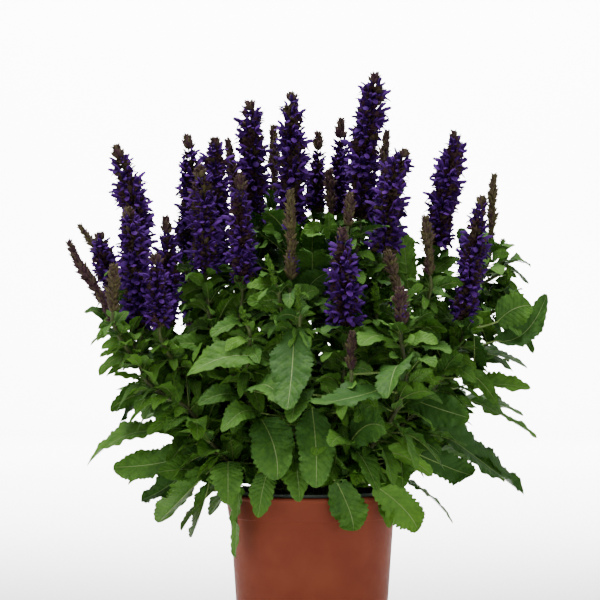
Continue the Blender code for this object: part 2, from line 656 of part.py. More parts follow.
class Plant:
    """The stems, spikes and leaves in their places, each clear of the others.

    Spikes are placed first, then stems and branches up to them, then leaves. A piece that would
    touch another is shifted along its sight line, so it is still seen where it was read.
    """

    def __init__(self):
        self.clearance = Clearance()
        self.spikes = {}
        self.axes = {}
        self.stems = {}

    def place(self):
        """Place every piece, in a fixed order."""
        self.clearance.add(turned(outer_pot_profile()), "outer_pot")
        self.clearance.add(turned(inner_pot_profile()), "inner_pot")
        for name, spike in SPIKES.items():
            self.place_spike(name, spike)
        for name, stem in STEMS.items():
            self.place_stem(name, stem)
        for name, stem in STEMS.items():
            for spike, share in stem.sides:
                self.place_branch(name, share, self.axes[spike], BUTT_GAP)
        for tip in YOUNG_TIPS:
            self.place_young_tip(tip)
        self.clearance.add(turned(soil_profile()), "soil")
        for points, width, by_eye in leaf_readings():
            self.place_leaf(points, width, by_eye)

    def place_spike(self, name, spike):
        """Stand a spike where it is read, shifted in depth until it is clear."""
        for shift in DEPTH_SHIFTS:
            depth = spike.depth * DEPTH_SPREAD + shift
            line = [on_board(*point, depth) for point in spike.points]
            solid = spike_solid(line, spike.width, spike.bud_share)
            if not self.clearance.blocked(solid):
                break
        self.clearance.add(solid, name)
        self.spikes[name] = solid
        self.axes[name] = line

    def place_stem(self, name, stem):
        """Lead a stem from its hole to its spike, bent until it is clear."""
        start = np.array([*stem.foot, SOIL_TOP - HOLE_DEPTH + SEAT_GAP])
        line = self.axes[stem.spike]
        ahead = unit(line[1] - line[0])
        end = line[0] - ahead * BUTT_GAP
        for sway, bend in ((sway, bend) for sway in STEM_SWAYS for bend in DEPTH_SHIFTS):
            way = [on_board(across, down, depth * DEPTH_SPREAD + bend) + sway * ACROSS
                   for across, down, depth in stem.way]
            points = [start + UP * (HOLE_DEPTH + FOOT_RISE), *way, end - ahead * APPROACH]
            path = np.vstack([start, smooth_path(points, STEM_RUNS), end])
            solid = bar_solid(path, STEM_WIDTH_LOW / math.sqrt(2), STEM_WIDTH_TOP / math.sqrt(2))
            if not self.clearance.blocked(solid):
                break
        self.clearance.add(solid, name)
        self.stems[name] = {"tubes": [solid], "paths": [along_line(path, 60)], "roots": [],
                            "leaves": []}

    def place_branch(self, name, share, line, butt):
        """Lead a branch from a share of the stem's length to the foot of a spike."""
        stem = self.stems[name]
        root = stem["paths"][0][int(share * (len(stem["paths"][0]) - 1))]
        ahead = unit(line[1] - line[0])
        end = line[0] - ahead * butt
        droop = 0.5 * (root + end) - UP * BRANCH_SAG * np.linalg.norm(end - root)
        for sag, sway in ((sag, sway) for sag in BRANCH_SAGS for sway in BRANCH_SWAYS):
            points = [root, droop - UP * sag + BACK * sway, end - ahead * APPROACH]
            path = np.vstack([smooth_path(points, 3), end])
            radius = BRANCH_WIDTH / math.sqrt(2)
            solid = bar_solid(path, radius, radius)
            if not self.clearance.blocked(solid, skip=name):
                break
        self.clearance.add(solid, name)
        stem["tubes"].append(solid)
        stem["paths"].append(along_line(path, 24))

    def place_young_tip(self, tip):
        """Grow a branch that ends in a green young tip, fused to its stem."""
        line = [on_board(across, down, depth * DEPTH_SPREAD) for across, down, depth in tip.points]
        self.place_branch(tip.stem, tip.share, line, -YOUNG_OVERLAP)
        solid = spike_solid(line, tip.width, 1.0)
        self.clearance.add(solid, tip.stem)
        self.stems[tip.stem]["leaves"].append(solid)

    def root_spots(self, base):
        """Places on the three handiest stems where a stalk to the blade's base may start."""
        found = []
        for name, stem in self.stems.items():
            for path in stem["paths"]:
                inner = path[4:-1]
                inner = inner[inner[:, 2] > SOIL_TOP + 3]
                cost = np.linalg.norm(inner - base, axis=1)
                cost += DROP_COST * np.maximum(0, inner[:, 2] - base[2] + 3)
                for taken in stem["roots"]:
                    near = np.linalg.norm(inner - taken, axis=1) < ROOT_SPACING
                    cost += CROWDED_COST * near
                row = int(np.argmin(cost))
                found.append((cost[row], name, inner[row]))
        found.sort(key=lambda item: item[0])
        best = {}
        for _, name, spot in found:
            best.setdefault(name, spot)
        return list(best.items())[:3]

    def place_leaf(self, points, width, by_eye):
        """Find a clear place for one leaf near its reading, and root it in a handy stem."""
        for shift, lift in ((shift, lift) for shift in DEPTH_SHIFTS for lift in TIP_LIFTS):
            moved = [shift_along_sight(point, shift) for point in points]
            moved[-1] = moved[-1] + UP * lift
            for name, spot in self.root_spots(moved[0]):
                stalk = moved[0] - spot
                if np.linalg.norm(stalk) < FREE_ROOT + 2:
                    continue
                free = spot + unit(stalk) * FREE_ROOT
                root = spot - unit(stalk) * ROOT_SINK
                others = f"{name} leaves"
                if self.clearance.blocked(blade_solid(free, moved, width, by_eye, CLEARANCE)):
                    continue
                whole = blade_solid(root, moved, width, by_eye, CLEARANCE)
                if self.clearance.blocked(whole, only=others):
                    continue
                solid = blade_solid(root, moved, width, by_eye)
                self.clearance.add(solid, others)
                self.stems[name]["leaves"].append(solid)
                self.stems[name]["roots"].append(spot)
                return


def dome_radius(height):
    """Radius of the leafy dome at a height over the rim."""
    return float(np.interp(height, DOME_HEIGHTS, DOME_RADII))


def shell_depth(across, down, shell, share):
    """Depth of the leafy dome's face at a board reading."""
    radius = share * dome_radius(BOARD_RIM - down)
    if down > PULL_BELOW:
        shell += FRONT_PULL * (1.0 - shell)
    return -shell * math.sqrt(max(radius**2 - (across - BOARD_AXIS)**2, 0.0))


def leaf_readings():
    """Every leaf as points in space, a width and whether it was read by eye."""
    for shell, width, *readings in LEAVES:
        shares = np.linspace(BASE_SHARE, TIP_SHARE, len(readings))
        yield [on_board(*place, shell_depth(*place, shell, share))
               for place, share in zip(readings, shares)], width, True
    for base_up, tip_up, base_out, tip_out, width, count, first, last in RINGS:
        for step in range(count):
            bearing = math.radians(first + (last - first) * step / (count - 1))
            out = np.array([math.cos(bearing), math.sin(bearing), 0.0])
            out *= 1.0 + RING_UNEVENNESS * math.sin(4.7 * step + base_up)
            sway = RING_TIP_SWAY * math.sin(2.3 * step)
            yield [out * base_out + UP * (POT_HEIGHT + base_up),
                   out * tip_out + UP * (POT_HEIGHT + tip_up + sway)], width, False


def material(kind):
    """The material of a kind of piece."""
    found = bpy.data.materials.get(kind)
    if found:
        return found
    colour, roughness = COLOURS[kind]
    made = bpy.data.materials.new(kind)
    made.use_nodes = True
    shader = made.node_tree.nodes["Principled BSDF"]
    channels = [int(colour[i:i + 2], 16) / 255 for i in (1, 3, 5)]
    linear = [c / 12.92 if c < 0.04045 else ((c + 0.055) / 1.055)**2.4 for c in channels]
    shader.inputs["Base Color"].default_value = (*linear, 1.0)
    shader.inputs["Roughness"].default_value = roughness
    return made


def add_object(name, solid, kind, collection=None):
    """Make an object from a solid in millimetres."""
    verts, faces = solid
    mesh = bpy.data.meshes.new(name)
    mesh.from_pydata((verts * MM).tolist(), [], faces)
    mesh.materials.append(material(kind))
    made = bpy.data.objects.new(name, mesh)
    (collection or bpy.context.scene.collection).objects.link(made)
    return made


def apply_boolean(target, operation, solids, kind):
    """Join solids to the target, or cut them from it, and leave one plain mesh."""
    group = bpy.data.collections.new("pieces")
    bpy.context.scene.collection.children.link(group)
    pieces = [add_object("piece", solid, kind, group) for solid in solids]
    change = target.modifiers.new("pieces", "BOOLEAN")
    change.operation = operation
    change.solver = "MANIFOLD"
    change.operand_type = "COLLECTION"
    change.collection = group
    graph = bpy.context.evaluated_depsgraph_get()
    mesh = bpy.data.meshes.new_from_object(target.evaluated_get(graph))
    target.modifiers.clear()
    target.data = mesh
    for piece in pieces:
        bpy.data.objects.remove(piece)
    bpy.data.collections.remove(group)


def keep_largest_body(target):
    """Split the faces into triangles and drop any loose scrap that a join left."""
    work = bmesh.new()
    work.from_mesh(target.data)
    bmesh.ops.triangulate(work, faces=work.faces[:])
    unseen = set(work.verts)
    bodies = []
    while unseen:
        waiting = [unseen.pop()]
        body = set(waiting)
        while waiting:
            joined = {vert for edge in waiting.pop().link_edges for vert in edge.verts} & unseen
            unseen -= joined
            body |= joined
            waiting += joined
        bodies.append(body)
    largest = max(bodies, key=len)
    scraps = [vert for body in bodies if body is not largest for vert in body]
    bmesh.ops.delete(work, geom=scraps, context="VERTS")
    work.to_mesh(target.data)
    work.free()


def upright_bar(across, back, low, high, radius, sides):
    """A closed upright bar between two heights."""
    ends = np.array([[across, back, low], [across, back, high]], float)
    return bar_solid(ends, radius, radius, sides)


def make_pots():
    """The two pots and the compost, cut for the drains and for the stems' feet."""
    outer = add_object("outer_pot", turned(outer_pot_profile()), "outer_pot")
    inner = add_object("inner_pot", turned(inner_pot_profile()), "inner_pot")
    soil = add_object("soil", turned(soil_profile()), "soil")
    drains = []
    for step in range(DRAIN_COUNT):
        angle = 2 * math.pi * (step + 0.5) / DRAIN_COUNT
        drains.append(upright_bar(DRAIN_CIRCLE * math.cos(angle), DRAIN_CIRCLE * math.sin(angle),
                                  -1.0, POT_FLOOR + SEAT_GAP + INNER_WALL + 0.5 * SEAT_GAP,
                                  DRAIN_RADIUS, DRAIN_SIDES))
    apply_boolean(outer, "DIFFERENCE", drains, "outer_pot")
    apply_boolean(inner, "DIFFERENCE", drains, "inner_pot")
    radius = STEM_WIDTH_LOW / math.sqrt(2) + HOLE_CLEAR * math.sqrt(2)
    holes = [upright_bar(*stem.foot, SOIL_TOP - HOLE_DEPTH, SOIL_TOP + 1.0, radius, 4)
             for stem in STEMS.values()]
    apply_boolean(soil, "DIFFERENCE", holes, "soil")
    for piece in (outer, inner, soil):
        keep_largest_body(piece)


def main():
    """Build the pots, the spikes and the leafy stems."""
    for existing in list(bpy.data.objects):
        bpy.data.objects.remove(existing)
    make_pots()
    plant = Plant()
    plant.place()
    for name, solid in plant.spikes.items():
        add_object(name, solid, "bud" if SPIKES[name].bud_share == 1.0 else "flower")
    for name, stem in plant.stems.items():
        target = add_object(name, stem["tubes"][0], "leaf")
        for joined in (stem["tubes"][1:], stem["leaves"]):
            if joined:
                apply_boolean(target, "UNION", joined, "leaf")
        keep_largest_body(target)


main()
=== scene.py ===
"""Looks of a perennial salvia in its pot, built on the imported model.

Lengths are in millimetres until a mesh is made. The origin is on the floor under the middle of
the pot, +Z is up and -Y is the front. Where each spike, stem and leaf stands is read on a survey
board: a board ruled in millimetres, upright through the pot's axis, looked at from one eye point.
A reading is millimetres across and down the board, and a depth carries it along the sight line.
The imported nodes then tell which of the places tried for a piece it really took.
"""
from __future__ import annotations

import itertools
import logging
import math
from dataclasses import dataclass
from dataclasses import field
from enum import Enum
from typing import Iterator
from typing import NamedTuple

import bmesh
import bpy
import numpy as np
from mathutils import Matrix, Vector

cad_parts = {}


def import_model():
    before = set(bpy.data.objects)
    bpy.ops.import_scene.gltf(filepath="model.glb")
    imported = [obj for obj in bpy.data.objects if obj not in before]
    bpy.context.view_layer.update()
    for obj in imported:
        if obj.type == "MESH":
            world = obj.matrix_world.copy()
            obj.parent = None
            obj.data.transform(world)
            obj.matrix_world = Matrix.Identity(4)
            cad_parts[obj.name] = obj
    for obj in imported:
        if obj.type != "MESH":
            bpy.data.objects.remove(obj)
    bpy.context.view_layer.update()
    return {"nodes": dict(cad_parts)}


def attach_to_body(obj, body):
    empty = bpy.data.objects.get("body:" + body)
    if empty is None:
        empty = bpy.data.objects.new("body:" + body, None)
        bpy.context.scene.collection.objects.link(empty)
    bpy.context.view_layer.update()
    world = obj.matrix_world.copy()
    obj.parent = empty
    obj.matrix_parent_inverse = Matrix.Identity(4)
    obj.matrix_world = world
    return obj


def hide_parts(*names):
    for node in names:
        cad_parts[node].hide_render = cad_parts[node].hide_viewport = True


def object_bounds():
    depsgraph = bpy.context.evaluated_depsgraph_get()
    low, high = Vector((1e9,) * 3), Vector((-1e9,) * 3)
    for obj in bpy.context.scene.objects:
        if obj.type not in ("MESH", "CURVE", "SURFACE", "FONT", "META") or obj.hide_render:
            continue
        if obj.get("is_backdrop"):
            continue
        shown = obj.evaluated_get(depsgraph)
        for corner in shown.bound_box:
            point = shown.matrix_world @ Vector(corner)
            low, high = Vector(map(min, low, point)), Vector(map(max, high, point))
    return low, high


log = logging.getLogger("salvia")
Array = np.ndarray
Material = bpy.types.Material

MM = 0.001
UP = np.array([0.0, 0.0, 1.0])
ACROSS = np.array([1.0, 0.0, 0.0])
BACK = np.array([0.0, 1.0, 0.0])

# the survey board and its eye point
BOARD_AXIS = 312.0
BOARD_RIM = 492.0
EYE = np.array([-12.0, -2700.0, 342.0])
DEPTH_SPREAD = 1.3
POT_HEIGHT = 150.0
SOIL_TOP = 142.0

# how stems and branches are led
HOLE_DEPTH = 12.0
SEAT_GAP = 0.3
FOOT_RISE = 6.0
STEM_WIDTH_LOW = 4.6
STEM_WIDTH_TOP = 3.0
BRANCH_WIDTH = 2.8
STEM_RUNS = 6
BRANCH_RUNS = 3
STEM_ROWS = 60
BRANCH_ROWS = 24
BUTT_GAP = 0.3
APPROACH = 12.0
YOUNG_OVERLAP = 2.0
BRANCH_SAG = 0.16

# how a leaf's frame is worked out
BLADE_THICKNESS = 0.7
BLADE_RATIO = 0.42
BLADE_ARCH = 0.14
OUTWARD_LEAN = 0.6
FIRST_ROOT_ROW = 4
ROOT_SPACING = 5.0
CROWDED_COST = 40.0
DROP_COST = 1.6
STALK_RISE = 3.0

# a spike's swell and its cone of buds
BULGE_START = 0.18
BULGE_SPAN = 0.62
BULGE_DEPTH = 0.22
TIP_CONE_RADIUS = 7.2
TIP_BLUNTNESS = 0.42
CONE_STEEPNESS = 1.7
BUD_WIDENING = 1.3

# spikes whose calyces are greener than the rest, and spikes in bud with a few open florets
GREENISH = {"spike_17": 0.75, "spike_25": 0.7, "spike_24": 0.6, "spike_35": 0.7,
            "spike_04": 0.6, "spike_06": 0.6, "spike_29": 0.55, "spike_37": 0.6}
FIRST_FLORETS = {"spike_17": 14, "spike_30": 16, "spike_03": 9, "spike_33": 8, "spike_24": 5,
                 "spike_31": 5, "spike_38": 5}

FIT_LIMIT = 0.05
WELD_DISTANCE = 0.001


class Spike(NamedTuple):
    """A spike: its share of closed buds, width, depth and readings from base to tip."""

    bud_share: float
    width: float
    depth: float
    points: list[tuple[float, float]]


class Stem(NamedTuple):
    """A stem: foot in plan, way points (across, down, depth), end spike and side spikes.

    Each side spike has the share of the stem's length at which its branch leaves.
    """

    foot: tuple[float, float]
    way: list[tuple[float, float, float]]
    spike: str
    sides: list[tuple[str, float]]


class YoungTip(NamedTuple):
    """A green young tip: its stem, share of the stem's length, width and points with depth."""

    stem: str
    share: float
    width: float
    points: list[tuple[float, float, float]]


SPIKES = {
    "spike_01": Spike(0.26, 36, -20, [(137, 260), (135, 215), (126, 178), (116, 147)]),
    "spike_02": Spike(0.20, 36, -54, [(140, 328), (135, 270), (128, 210)]),
    "spike_03": Spike(1.0, 14, -64, [(122, 330), (113, 320), (97, 290), (80, 265), (69, 243)]),
    "spike_04": Spike(1.0, 12, 12, [(113, 272), (97, 250), (80, 226)]),
    "spike_05": Spike(0.22, 30, -8, [(112, 290), (104, 262), (100, 236)]),
    "spike_06": Spike(1.0, 15, -84, [(113, 312), (113, 290), (114, 266)]),
    "spike_07": Spike(0.36, 31, -30, [(165, 325), (168, 262), (166, 219)]),
    "spike_08": Spike(0.30, 29, -66, [(160, 326), (158, 290), (155, 257)]),
    "spike_09": Spike(0.24, 30, 26, [(186, 258), (190, 200), (190, 165), (187, 137)]),
    "spike_10": Spike(0.12, 34, 2, [(215, 276), (216, 200), (215, 140)]),
    "spike_11": Spike(1.0, 14, 44, [(237, 218), (232, 170), (228, 141)]),
    "spike_12": Spike(0.24, 35, -38, [(206, 272), (204, 220), (200, 168)]),
    "spike_13": Spike(0.34, 31, -52, [(242, 284), (241, 235), (240, 175)]),
    "spike_14": Spike(0.12, 35, 40, [(254, 220), (252, 150), (250, 104)]),
    "spike_15": Spike(1.0, 15, 66, [(275, 200), (274, 160), (274, 127)]),
    "spike_16": Spike(0.14, 36, 8, [(293, 226), (292, 150), (291, 95)]),
    "spike_17": Spike(1.0, 19, -74, [(290, 280), (291, 240), (290, 192)]),
    "spike_18": Spike(0.50, 27, 48, [(314, 212), (317, 165), (318, 134)]),
    "spike_19": Spike(0.48, 28, 34, [(338, 214), (340, 175), (341, 120)]),
    "spike_20": Spike(0.16, 38, 0, [(360, 218), (366, 135), (371, 102), (376, 75)]),
    "spike_21": Spike(1.0, 14, 46, [(381, 196), (384, 160), (387, 132)]),
    "spike_22": Spike(0.16, 37, -32, [(385, 252), (391, 190), (405, 152)]),
    "spike_23": Spike(0.22, 36, 0, [(437, 247), (445, 190), (454, 151), (454, 133)]),
    "spike_24": Spike(1.0, 15, -42, [(430, 276), (428, 245), (425, 218)]),
    "spike_25": Spike(1.0, 13, 40, [(491, 240), (492, 210), (494, 175)]),
    "spike_26": Spike(0.22, 32, -30, [(465, 320), (467, 290), (475, 245), (482, 198)]),
    "spike_27": Spike(0.34, 36, -92, [(345, 326), (344, 280), (342, 230)]),
    "spike_28": Spike(1.0, 12, -118, [(351, 370), (351, 352), (352, 333)]),
    "spike_29": Spike(1.0, 15, -72, [(398, 292), (393, 272), (388, 253)]),
    "spike_30": Spike(1.0, 21, -104, [(401, 326), (401, 308), (400, 290)]),
    "spike_31": Spike(1.0, 14, -58, [(348, 226), (349, 210), (350, 195)]),
    "spike_32": Spike(0.30, 31, 96, [(196, 330), (190, 290), (186, 248)]),
    "spike_33": Spike(1.0, 14, 112, [(238, 290), (235, 255), (233, 222)]),
    "spike_34": Spike(0.30, 31, 128, [(287, 292), (285, 250), (284, 206)]),
    "spike_35": Spike(1.0, 14, 116, [(334, 286), (335, 255), (336, 226)]),
    "spike_36": Spike(0.30, 31, 112, [(384, 306), (388, 265), (391, 226)]),
    "spike_37": Spike(1.0, 14, 96, [(428, 316), (432, 290), (436, 258)]),
    "spike_38": Spike(1.0, 14, 12, [(331, 216), (330, 192), (329, 171)]),
}

STEMS = {
    "stem_01": Stem((-38, -14), [(245, 478, -34), (205, 435, -52), (187, 408, -58),
                                 (150, 385, -62), (133, 345, -64)],
                    "spike_03", [("spike_06", 0.86), ("spike_02", 0.90)]),
    "stem_02": Stem((-31, 8), [(235, 450, -2), (176, 370, -14), (143, 300, -20)],
                    "spike_01", [("spike_05", 0.74), ("spike_04", 0.84)]),
    "stem_03": Stem((-22, -5), [(240, 430, -18), (190, 376, -28)],
                    "spike_07", [("spike_08", 0.72)]),
    "stem_04": Stem((-18, 20), [(262, 420, 14), (230, 340, 4)],
                    "spike_10", [("spike_09", 0.66), ("spike_11", 0.70)]),
    "stem_05": Stem((-24, -32), [(258, 420, -44), (216, 340, -44)],
                    "spike_12", [("spike_13", 0.62)]),
    "stem_06": Stem((-8, 33), [(288, 420, 38), (262, 310, 44)],
                    "spike_14", [("spike_15", 0.70)]),
    "stem_07": Stem((-5, 8), [(300, 400, 10), (294, 300, 10)],
                    "spike_16", [("spike_18", 0.72)]),
    "stem_08": Stem((-8, -42), [(296, 440, -62), (292, 350, -76)],
                    "spike_17", []),
    "stem_09": Stem((11, 16), [(335, 400, 8), (352, 300, 2)],
                    "spike_20", [("spike_19", 0.66), ("spike_21", 0.70), ("spike_38", 0.62)]),
    "stem_10": Stem((14, -8), [(350, 420, -24), (372, 330, -32)],
                    "spike_22", [("spike_31", 0.66)]),
    "stem_11": Stem((9, -27), [(328, 440, -66), (342, 390, -92)],
                    "spike_27", [("spike_28", 0.55)]),
    "stem_12": Stem((28, 4), [(370, 430, 0), (412, 340, -2)],
                    "spike_23", [("spike_24", 0.70)]),
    "stem_13": Stem((32, 24), [(385, 440, 28), (450, 350, 38)],
                    "spike_25", []),
    "stem_14": Stem((36, -14), [(380, 450, -20), (425, 400, -28), (456, 352, -30)],
                    "spike_26", []),
    "stem_15": Stem((22, -42), [(368, 450, -80), (402, 400, -100), (404, 352, -106)],
                    "spike_30", [("spike_29", 0.72)]),
    "stem_16": Stem((-22, 38), [(250, 430, 66), (204, 360, 94)],
                    "spike_32", [("spike_33", 0.60)]),
    "stem_17": Stem((4, 46), [(312, 430, 84), (292, 350, 122)],
                    "spike_34", [("spike_35", 0.60)]),
    "stem_18": Stem((25, 40), [(362, 430, 76), (382, 350, 108)],
                    "spike_36", [("spike_37", 0.60)]),
}

YOUNG_TIPS = [
    YoungTip("stem_13", 0.86, 9, [(502, 262, 52), (503, 240, 54)]),
    YoungTip("stem_13", 0.74, 9, [(508, 294, 24), (509, 266, 22)]),
    YoungTip("stem_08", 0.80, 9, [(276, 286, -88), (267, 256, -90)]),
    YoungTip("stem_08", 0.72, 8, [(299, 312, -104), (297, 286, -106)]),
    YoungTip("stem_05", 0.50, 8, [(247, 326, -88), (241, 308, -90)]),
    YoungTip("stem_10", 0.78, 9, [(377, 314, -62), (375, 284, -64)]),
]

# each leaf as read: shell, seen width, then readings from the blade's base to its tip; shell 1
# is the front face of the leafy dome and 0 its outline
LEAVES = [
    (0.85, 38, (294, 328), (292, 370), (287, 410)), (0.30, 36, (497, 322), (532, 306)),
    (0.80, 44, (262, 420), (275, 450), (277, 480)), (0.85, 38, (312, 408), (316, 450), (316, 488)),
    (0.95, 34, (349, 444), (385, 428)), (0.60, 36, (335, 478), (350, 512), (353, 531)),
    (0.75, 36, (375, 485), (405, 510), (418, 531)), (0.60, 36, (407, 397), (440, 409), (470, 418)),
    (0.75, 34, (228, 462), (228, 505)), (0.50, 34, (212, 452), (170, 485), (141, 500)),
    (0.70, 30, (273, 362), (187, 376)), (0.90, 30, (295, 460), (300, 502)),
    (0.55, 30, (200, 450), (160, 463), (113, 467)), (0.60, 30, (400, 455), (403, 488)),
    (0.40, 30, (420, 455), (455, 470), (473, 475)), (1.00, 30, (402, 368), (388, 398)),
    (0.45, 28, (300, 300), (329, 273)),
    (0.95, 26, (381, 389), (350, 398), (314, 404)), (0.90, 26, (304, 393), (291, 423)),
    (0.30, 25, (150, 388), (182, 360)), (0.75, 26, (267, 475), (258, 518)),
    (0.15, 26, (495, 341), (525, 332), (547, 312)), (0.25, 24, (425, 420), (490, 468), (524, 495)),
    (0.75, 24, (258, 412), (222, 432)), (0.60, 24, (292, 298), (270, 300), (247, 312)),
    (0.85, 24, (250, 390), (285, 405)), (0.15, 24, (408, 290), (402, 232)),
    (0.40, 22, (163, 398), (168, 430)), (0.45, 22, (405, 335), (434, 312)),
    (0.35, 20, (218, 354), (165, 358)), (0.20, 20, (162, 396), (110, 410)),
    (0.35, 16, (162, 398), (120, 422)), (0.05, 18, (132, 347), (106, 346)),
    (0.15, 14, (140, 362), (106, 377)), (0.10, 8, (112, 327), (98, 312), (84, 312)),
    (0.40, 12, (272, 344), (231, 368)), (0.45, 10, (248, 328), (211, 337)),
    (0.20, 20, (212, 290), (178, 300)), (0.30, 18, (218, 300), (243, 312)),
    (0.45, 14, (250, 400), (198, 405)), (0.50, 8, (290, 297), (247, 287)),
    (0.55, 8, (297, 318), (333, 316)), (0.05, 14, (323, 225), (300, 240)),
    (0.10, 13, (330, 248), (328, 212)), (0.10, 12, (285, 235), (262, 230)),
    (0.60, 14, (400, 345), (361, 332)), (0.75, 10, (400, 350), (361, 346)),
    (0.60, 12, (408, 340), (447, 330)), (0.75, 10, (410, 348), (433, 346), (450, 354)),
    (0.10, 12, (452, 345), (475, 315)), (0.15, 14, (425, 285), (458, 258)),
    (0.25, 12, (420, 300), (455, 272)), (0.35, 18, (466, 385), (495, 384), (531, 388)),
    (0.10, 10, (465, 385), (493, 376)), (0.10, 11, (470, 400), (500, 414), (537, 438)),
    (0.05, 14, (468, 258), (460, 228)), (0.05, 10, (492, 258), (510, 254)),
    (0.40, 16, (488, 345), (465, 318)), (0.30, 14, (475, 375), (474, 335)),
    (0.10, 22, (415, 385), (470, 368)), (0.20, 14, (178, 437), (130, 434), (87, 466)),
    (0.65, 14, (170, 465), (128, 485)), (0.70, 12, (215, 465), (190, 490), (158, 523)),
    (0.80, 12, (209, 480), (203, 505), (192, 537)), (0.70, 16, (240, 485), (235, 558)),
    (0.90, 16, (349, 444), (330, 466)), (0.85, 18, (349, 446), (378, 482)),
    (0.60, 16, (384, 500), (390, 528)), (0.80, 12, (335, 480), (337, 459)),
]

# rings of leaves that close the back and fill the inside of the front: height of base and tip
# over the rim, radius of base and tip, width, count, first and last bearing round from +X
RINGS = [
    (14, -34, 74, 138, 34, 6, 14, 166),
    (34, 18, 92, 186, 34, 7, 2, 178),
    (78, 74, 108, 212, 32, 7, 12, 168),
    (126, 132, 104, 212, 30, 6, 4, 176),
    (176, 196, 92, 186, 26, 6, 18, 162),
    (224, 248, 56, 124, 20, 5, 20, 160),
    (196, 214, 44, 112, 22, 7, 188, 352),
    (238, 262, 30, 86, 18, 5, 200, 340),
    (112, 118, 44, 124, 26, 4, 200, 340),
]
# how a ring's leaves differ: a share of their reach, millimetres at their tips, and the radians
# that each of the two moves on from leaf to leaf
RING_UNEVENNESS = 0.07
RING_TIP_SWAY = 9.0
RING_TURNS = (4.7, 2.3)

# the leafy dome: its radius at heights over the rim, and the shares of it at which a listed leaf
# has its base and its tip; leaves read low on the board stand nearer to its front face
DOME_HEIGHTS = [-60, -20, 20, 60, 190, 240, 300]
DOME_RADII = [118, 150, 205, 228, 225, 165, 90]
BASE_SHARE = 0.62
TIP_SHARE = 0.92
FRONT_PULL = 0.3
PULL_BELOW = 320.0

# what is tried, in turn, where a piece would touch another
DEPTH_SHIFTS = (0, 6, -6, 12, -12, 20, -20, 30, -30, 42, -42)
TIP_LIFTS = (0, 9, -9, 18)
STEM_SWAYS = (0, 5, -5, 10, -10)
BRANCH_SAGS = (0, 12, -12, 24, -24, 36)
BRANCH_SWAYS = (0, 14, -14, 28, -28)


def unit(vector: Array) -> Array:
    """The vector at length one."""
    return vector / np.linalg.norm(vector)


def units(vectors: Array) -> Array:
    """Each vector of an array at length one."""
    return vectors / np.linalg.norm(vectors, axis=-1, keepdims=True)


def on_board(across: float, down: float, depth: float = 0.0) -> Array:
    """The point that is seen at a board reading and lies at a depth behind the board.

    Args:
        across: millimetres across the board.
        down: millimetres down the board.
        depth: millimetres behind the board.

    Returns:
        The point, on the line from the eye through the reading.
    """
    reading = np.array([across - BOARD_AXIS, 0.0, POT_HEIGHT + BOARD_RIM - down])
    return EYE + (reading - EYE) * (depth - EYE[1]) / -EYE[1]


def shift_along_sight(point: Array, shift: float) -> Array:
    """Move a point along its sight line until its depth has grown by the shift."""
    return EYE + (point - EYE) * (point[1] + shift - EYE[1]) / (point[1] - EYE[1])


def turned(first: Array, second: Array, angle: Array | float) -> Array:
    """The first direction turned by an angle towards the second, which is square to it."""
    return np.cos(angle) * first + np.sin(angle) * second


def travelled(path: Array) -> Array:
    """Length of the path from its start to each of its points."""
    return np.r_[0, np.cumsum(np.linalg.norm(np.diff(path, axis=0), axis=1))]


def along_line(path: Array, count: int) -> Array:
    """Evenly spaced points along the straight runs of a path.

    Args:
        path: the corners between the runs.
        count: how many points to give.

    Returns:
        The points, as rows.
    """
    lengths = travelled(path)
    wanted = np.linspace(0, lengths[-1], count)
    return np.stack([np.interp(wanted, lengths, path[:, axis]) for axis in range(3)], axis=1)


def smooth_path(points: list[Array] | Array, count: int) -> Array:
    """Evenly spaced points on the Catmull-Rom curve through the given points.

    Args:
        points: the points that the curve passes through.
        count: how many points to give.

    Returns:
        The points, as rows.
    """
    points = np.asarray(points, float)
    padded = np.vstack([2 * points[0] - points[1], points, 2 * points[-1] - points[-2]])
    share = np.linspace(0, 1, 13)[:, None]
    runs = []
    for a, b, c, d in zip(padded, padded[1:], padded[2:], padded[3:]):
        runs.append(0.5 * (2 * b + (c - a) * share + (2 * a - 5 * b + 4 * c - d) * share**2
                           + (3 * b - a - 3 * c + d) * share**3))
    return along_line(np.vstack(runs), count)


def curve3(start: Array, control: Array, end: Array, count: int) -> Array:
    """Points of the quadratic curve (1-s)² start + 2s(1-s) control + s² end, s from 0 to 1."""
    share = np.linspace(0, 1, count)[:, None]
    return (1 - share)**2 * start + 2 * share * (1 - share) * control + share**2 * end


def path_frames(path: Array, guide: Array = BACK) -> tuple[Array, Array, Array]:
    """Directions across a path and along it.

    Args:
        path: points along the path.
        guide: a direction that the first one is square to.

    Returns:
        Two directions across the path and the one along it, at each of its points.
    """
    along = np.gradient(path, axis=0)
    side = units(np.cross(guide, along))
    return side, units(np.cross(along, side)), units(along)


def surface(x: Array, y: Array, z: Array) -> Array:
    """The grid of points whose coordinates are given, each spread to the size of all three."""
    return np.stack(np.broadcast_arrays(x, y, z), axis=-1)


def square_rings(path: Array, width_low: float, width_top: float) -> Array:
    """Corners of a square stem's section at each point of its path.

    Args:
        path: the points along the stem.
        width_low: width of the section at the start.
        width_top: width of the section at the end.

    Returns:
        An array of points by four corners by three coordinates.
    """
    side, other, _ = path_frames(path)
    radius = np.linspace(width_low, width_top, len(path))[:, None] / math.sqrt(2)
    corners = [side, other, -side, -other]
    return np.stack([path + radius * corner for corner in corners], axis=1)


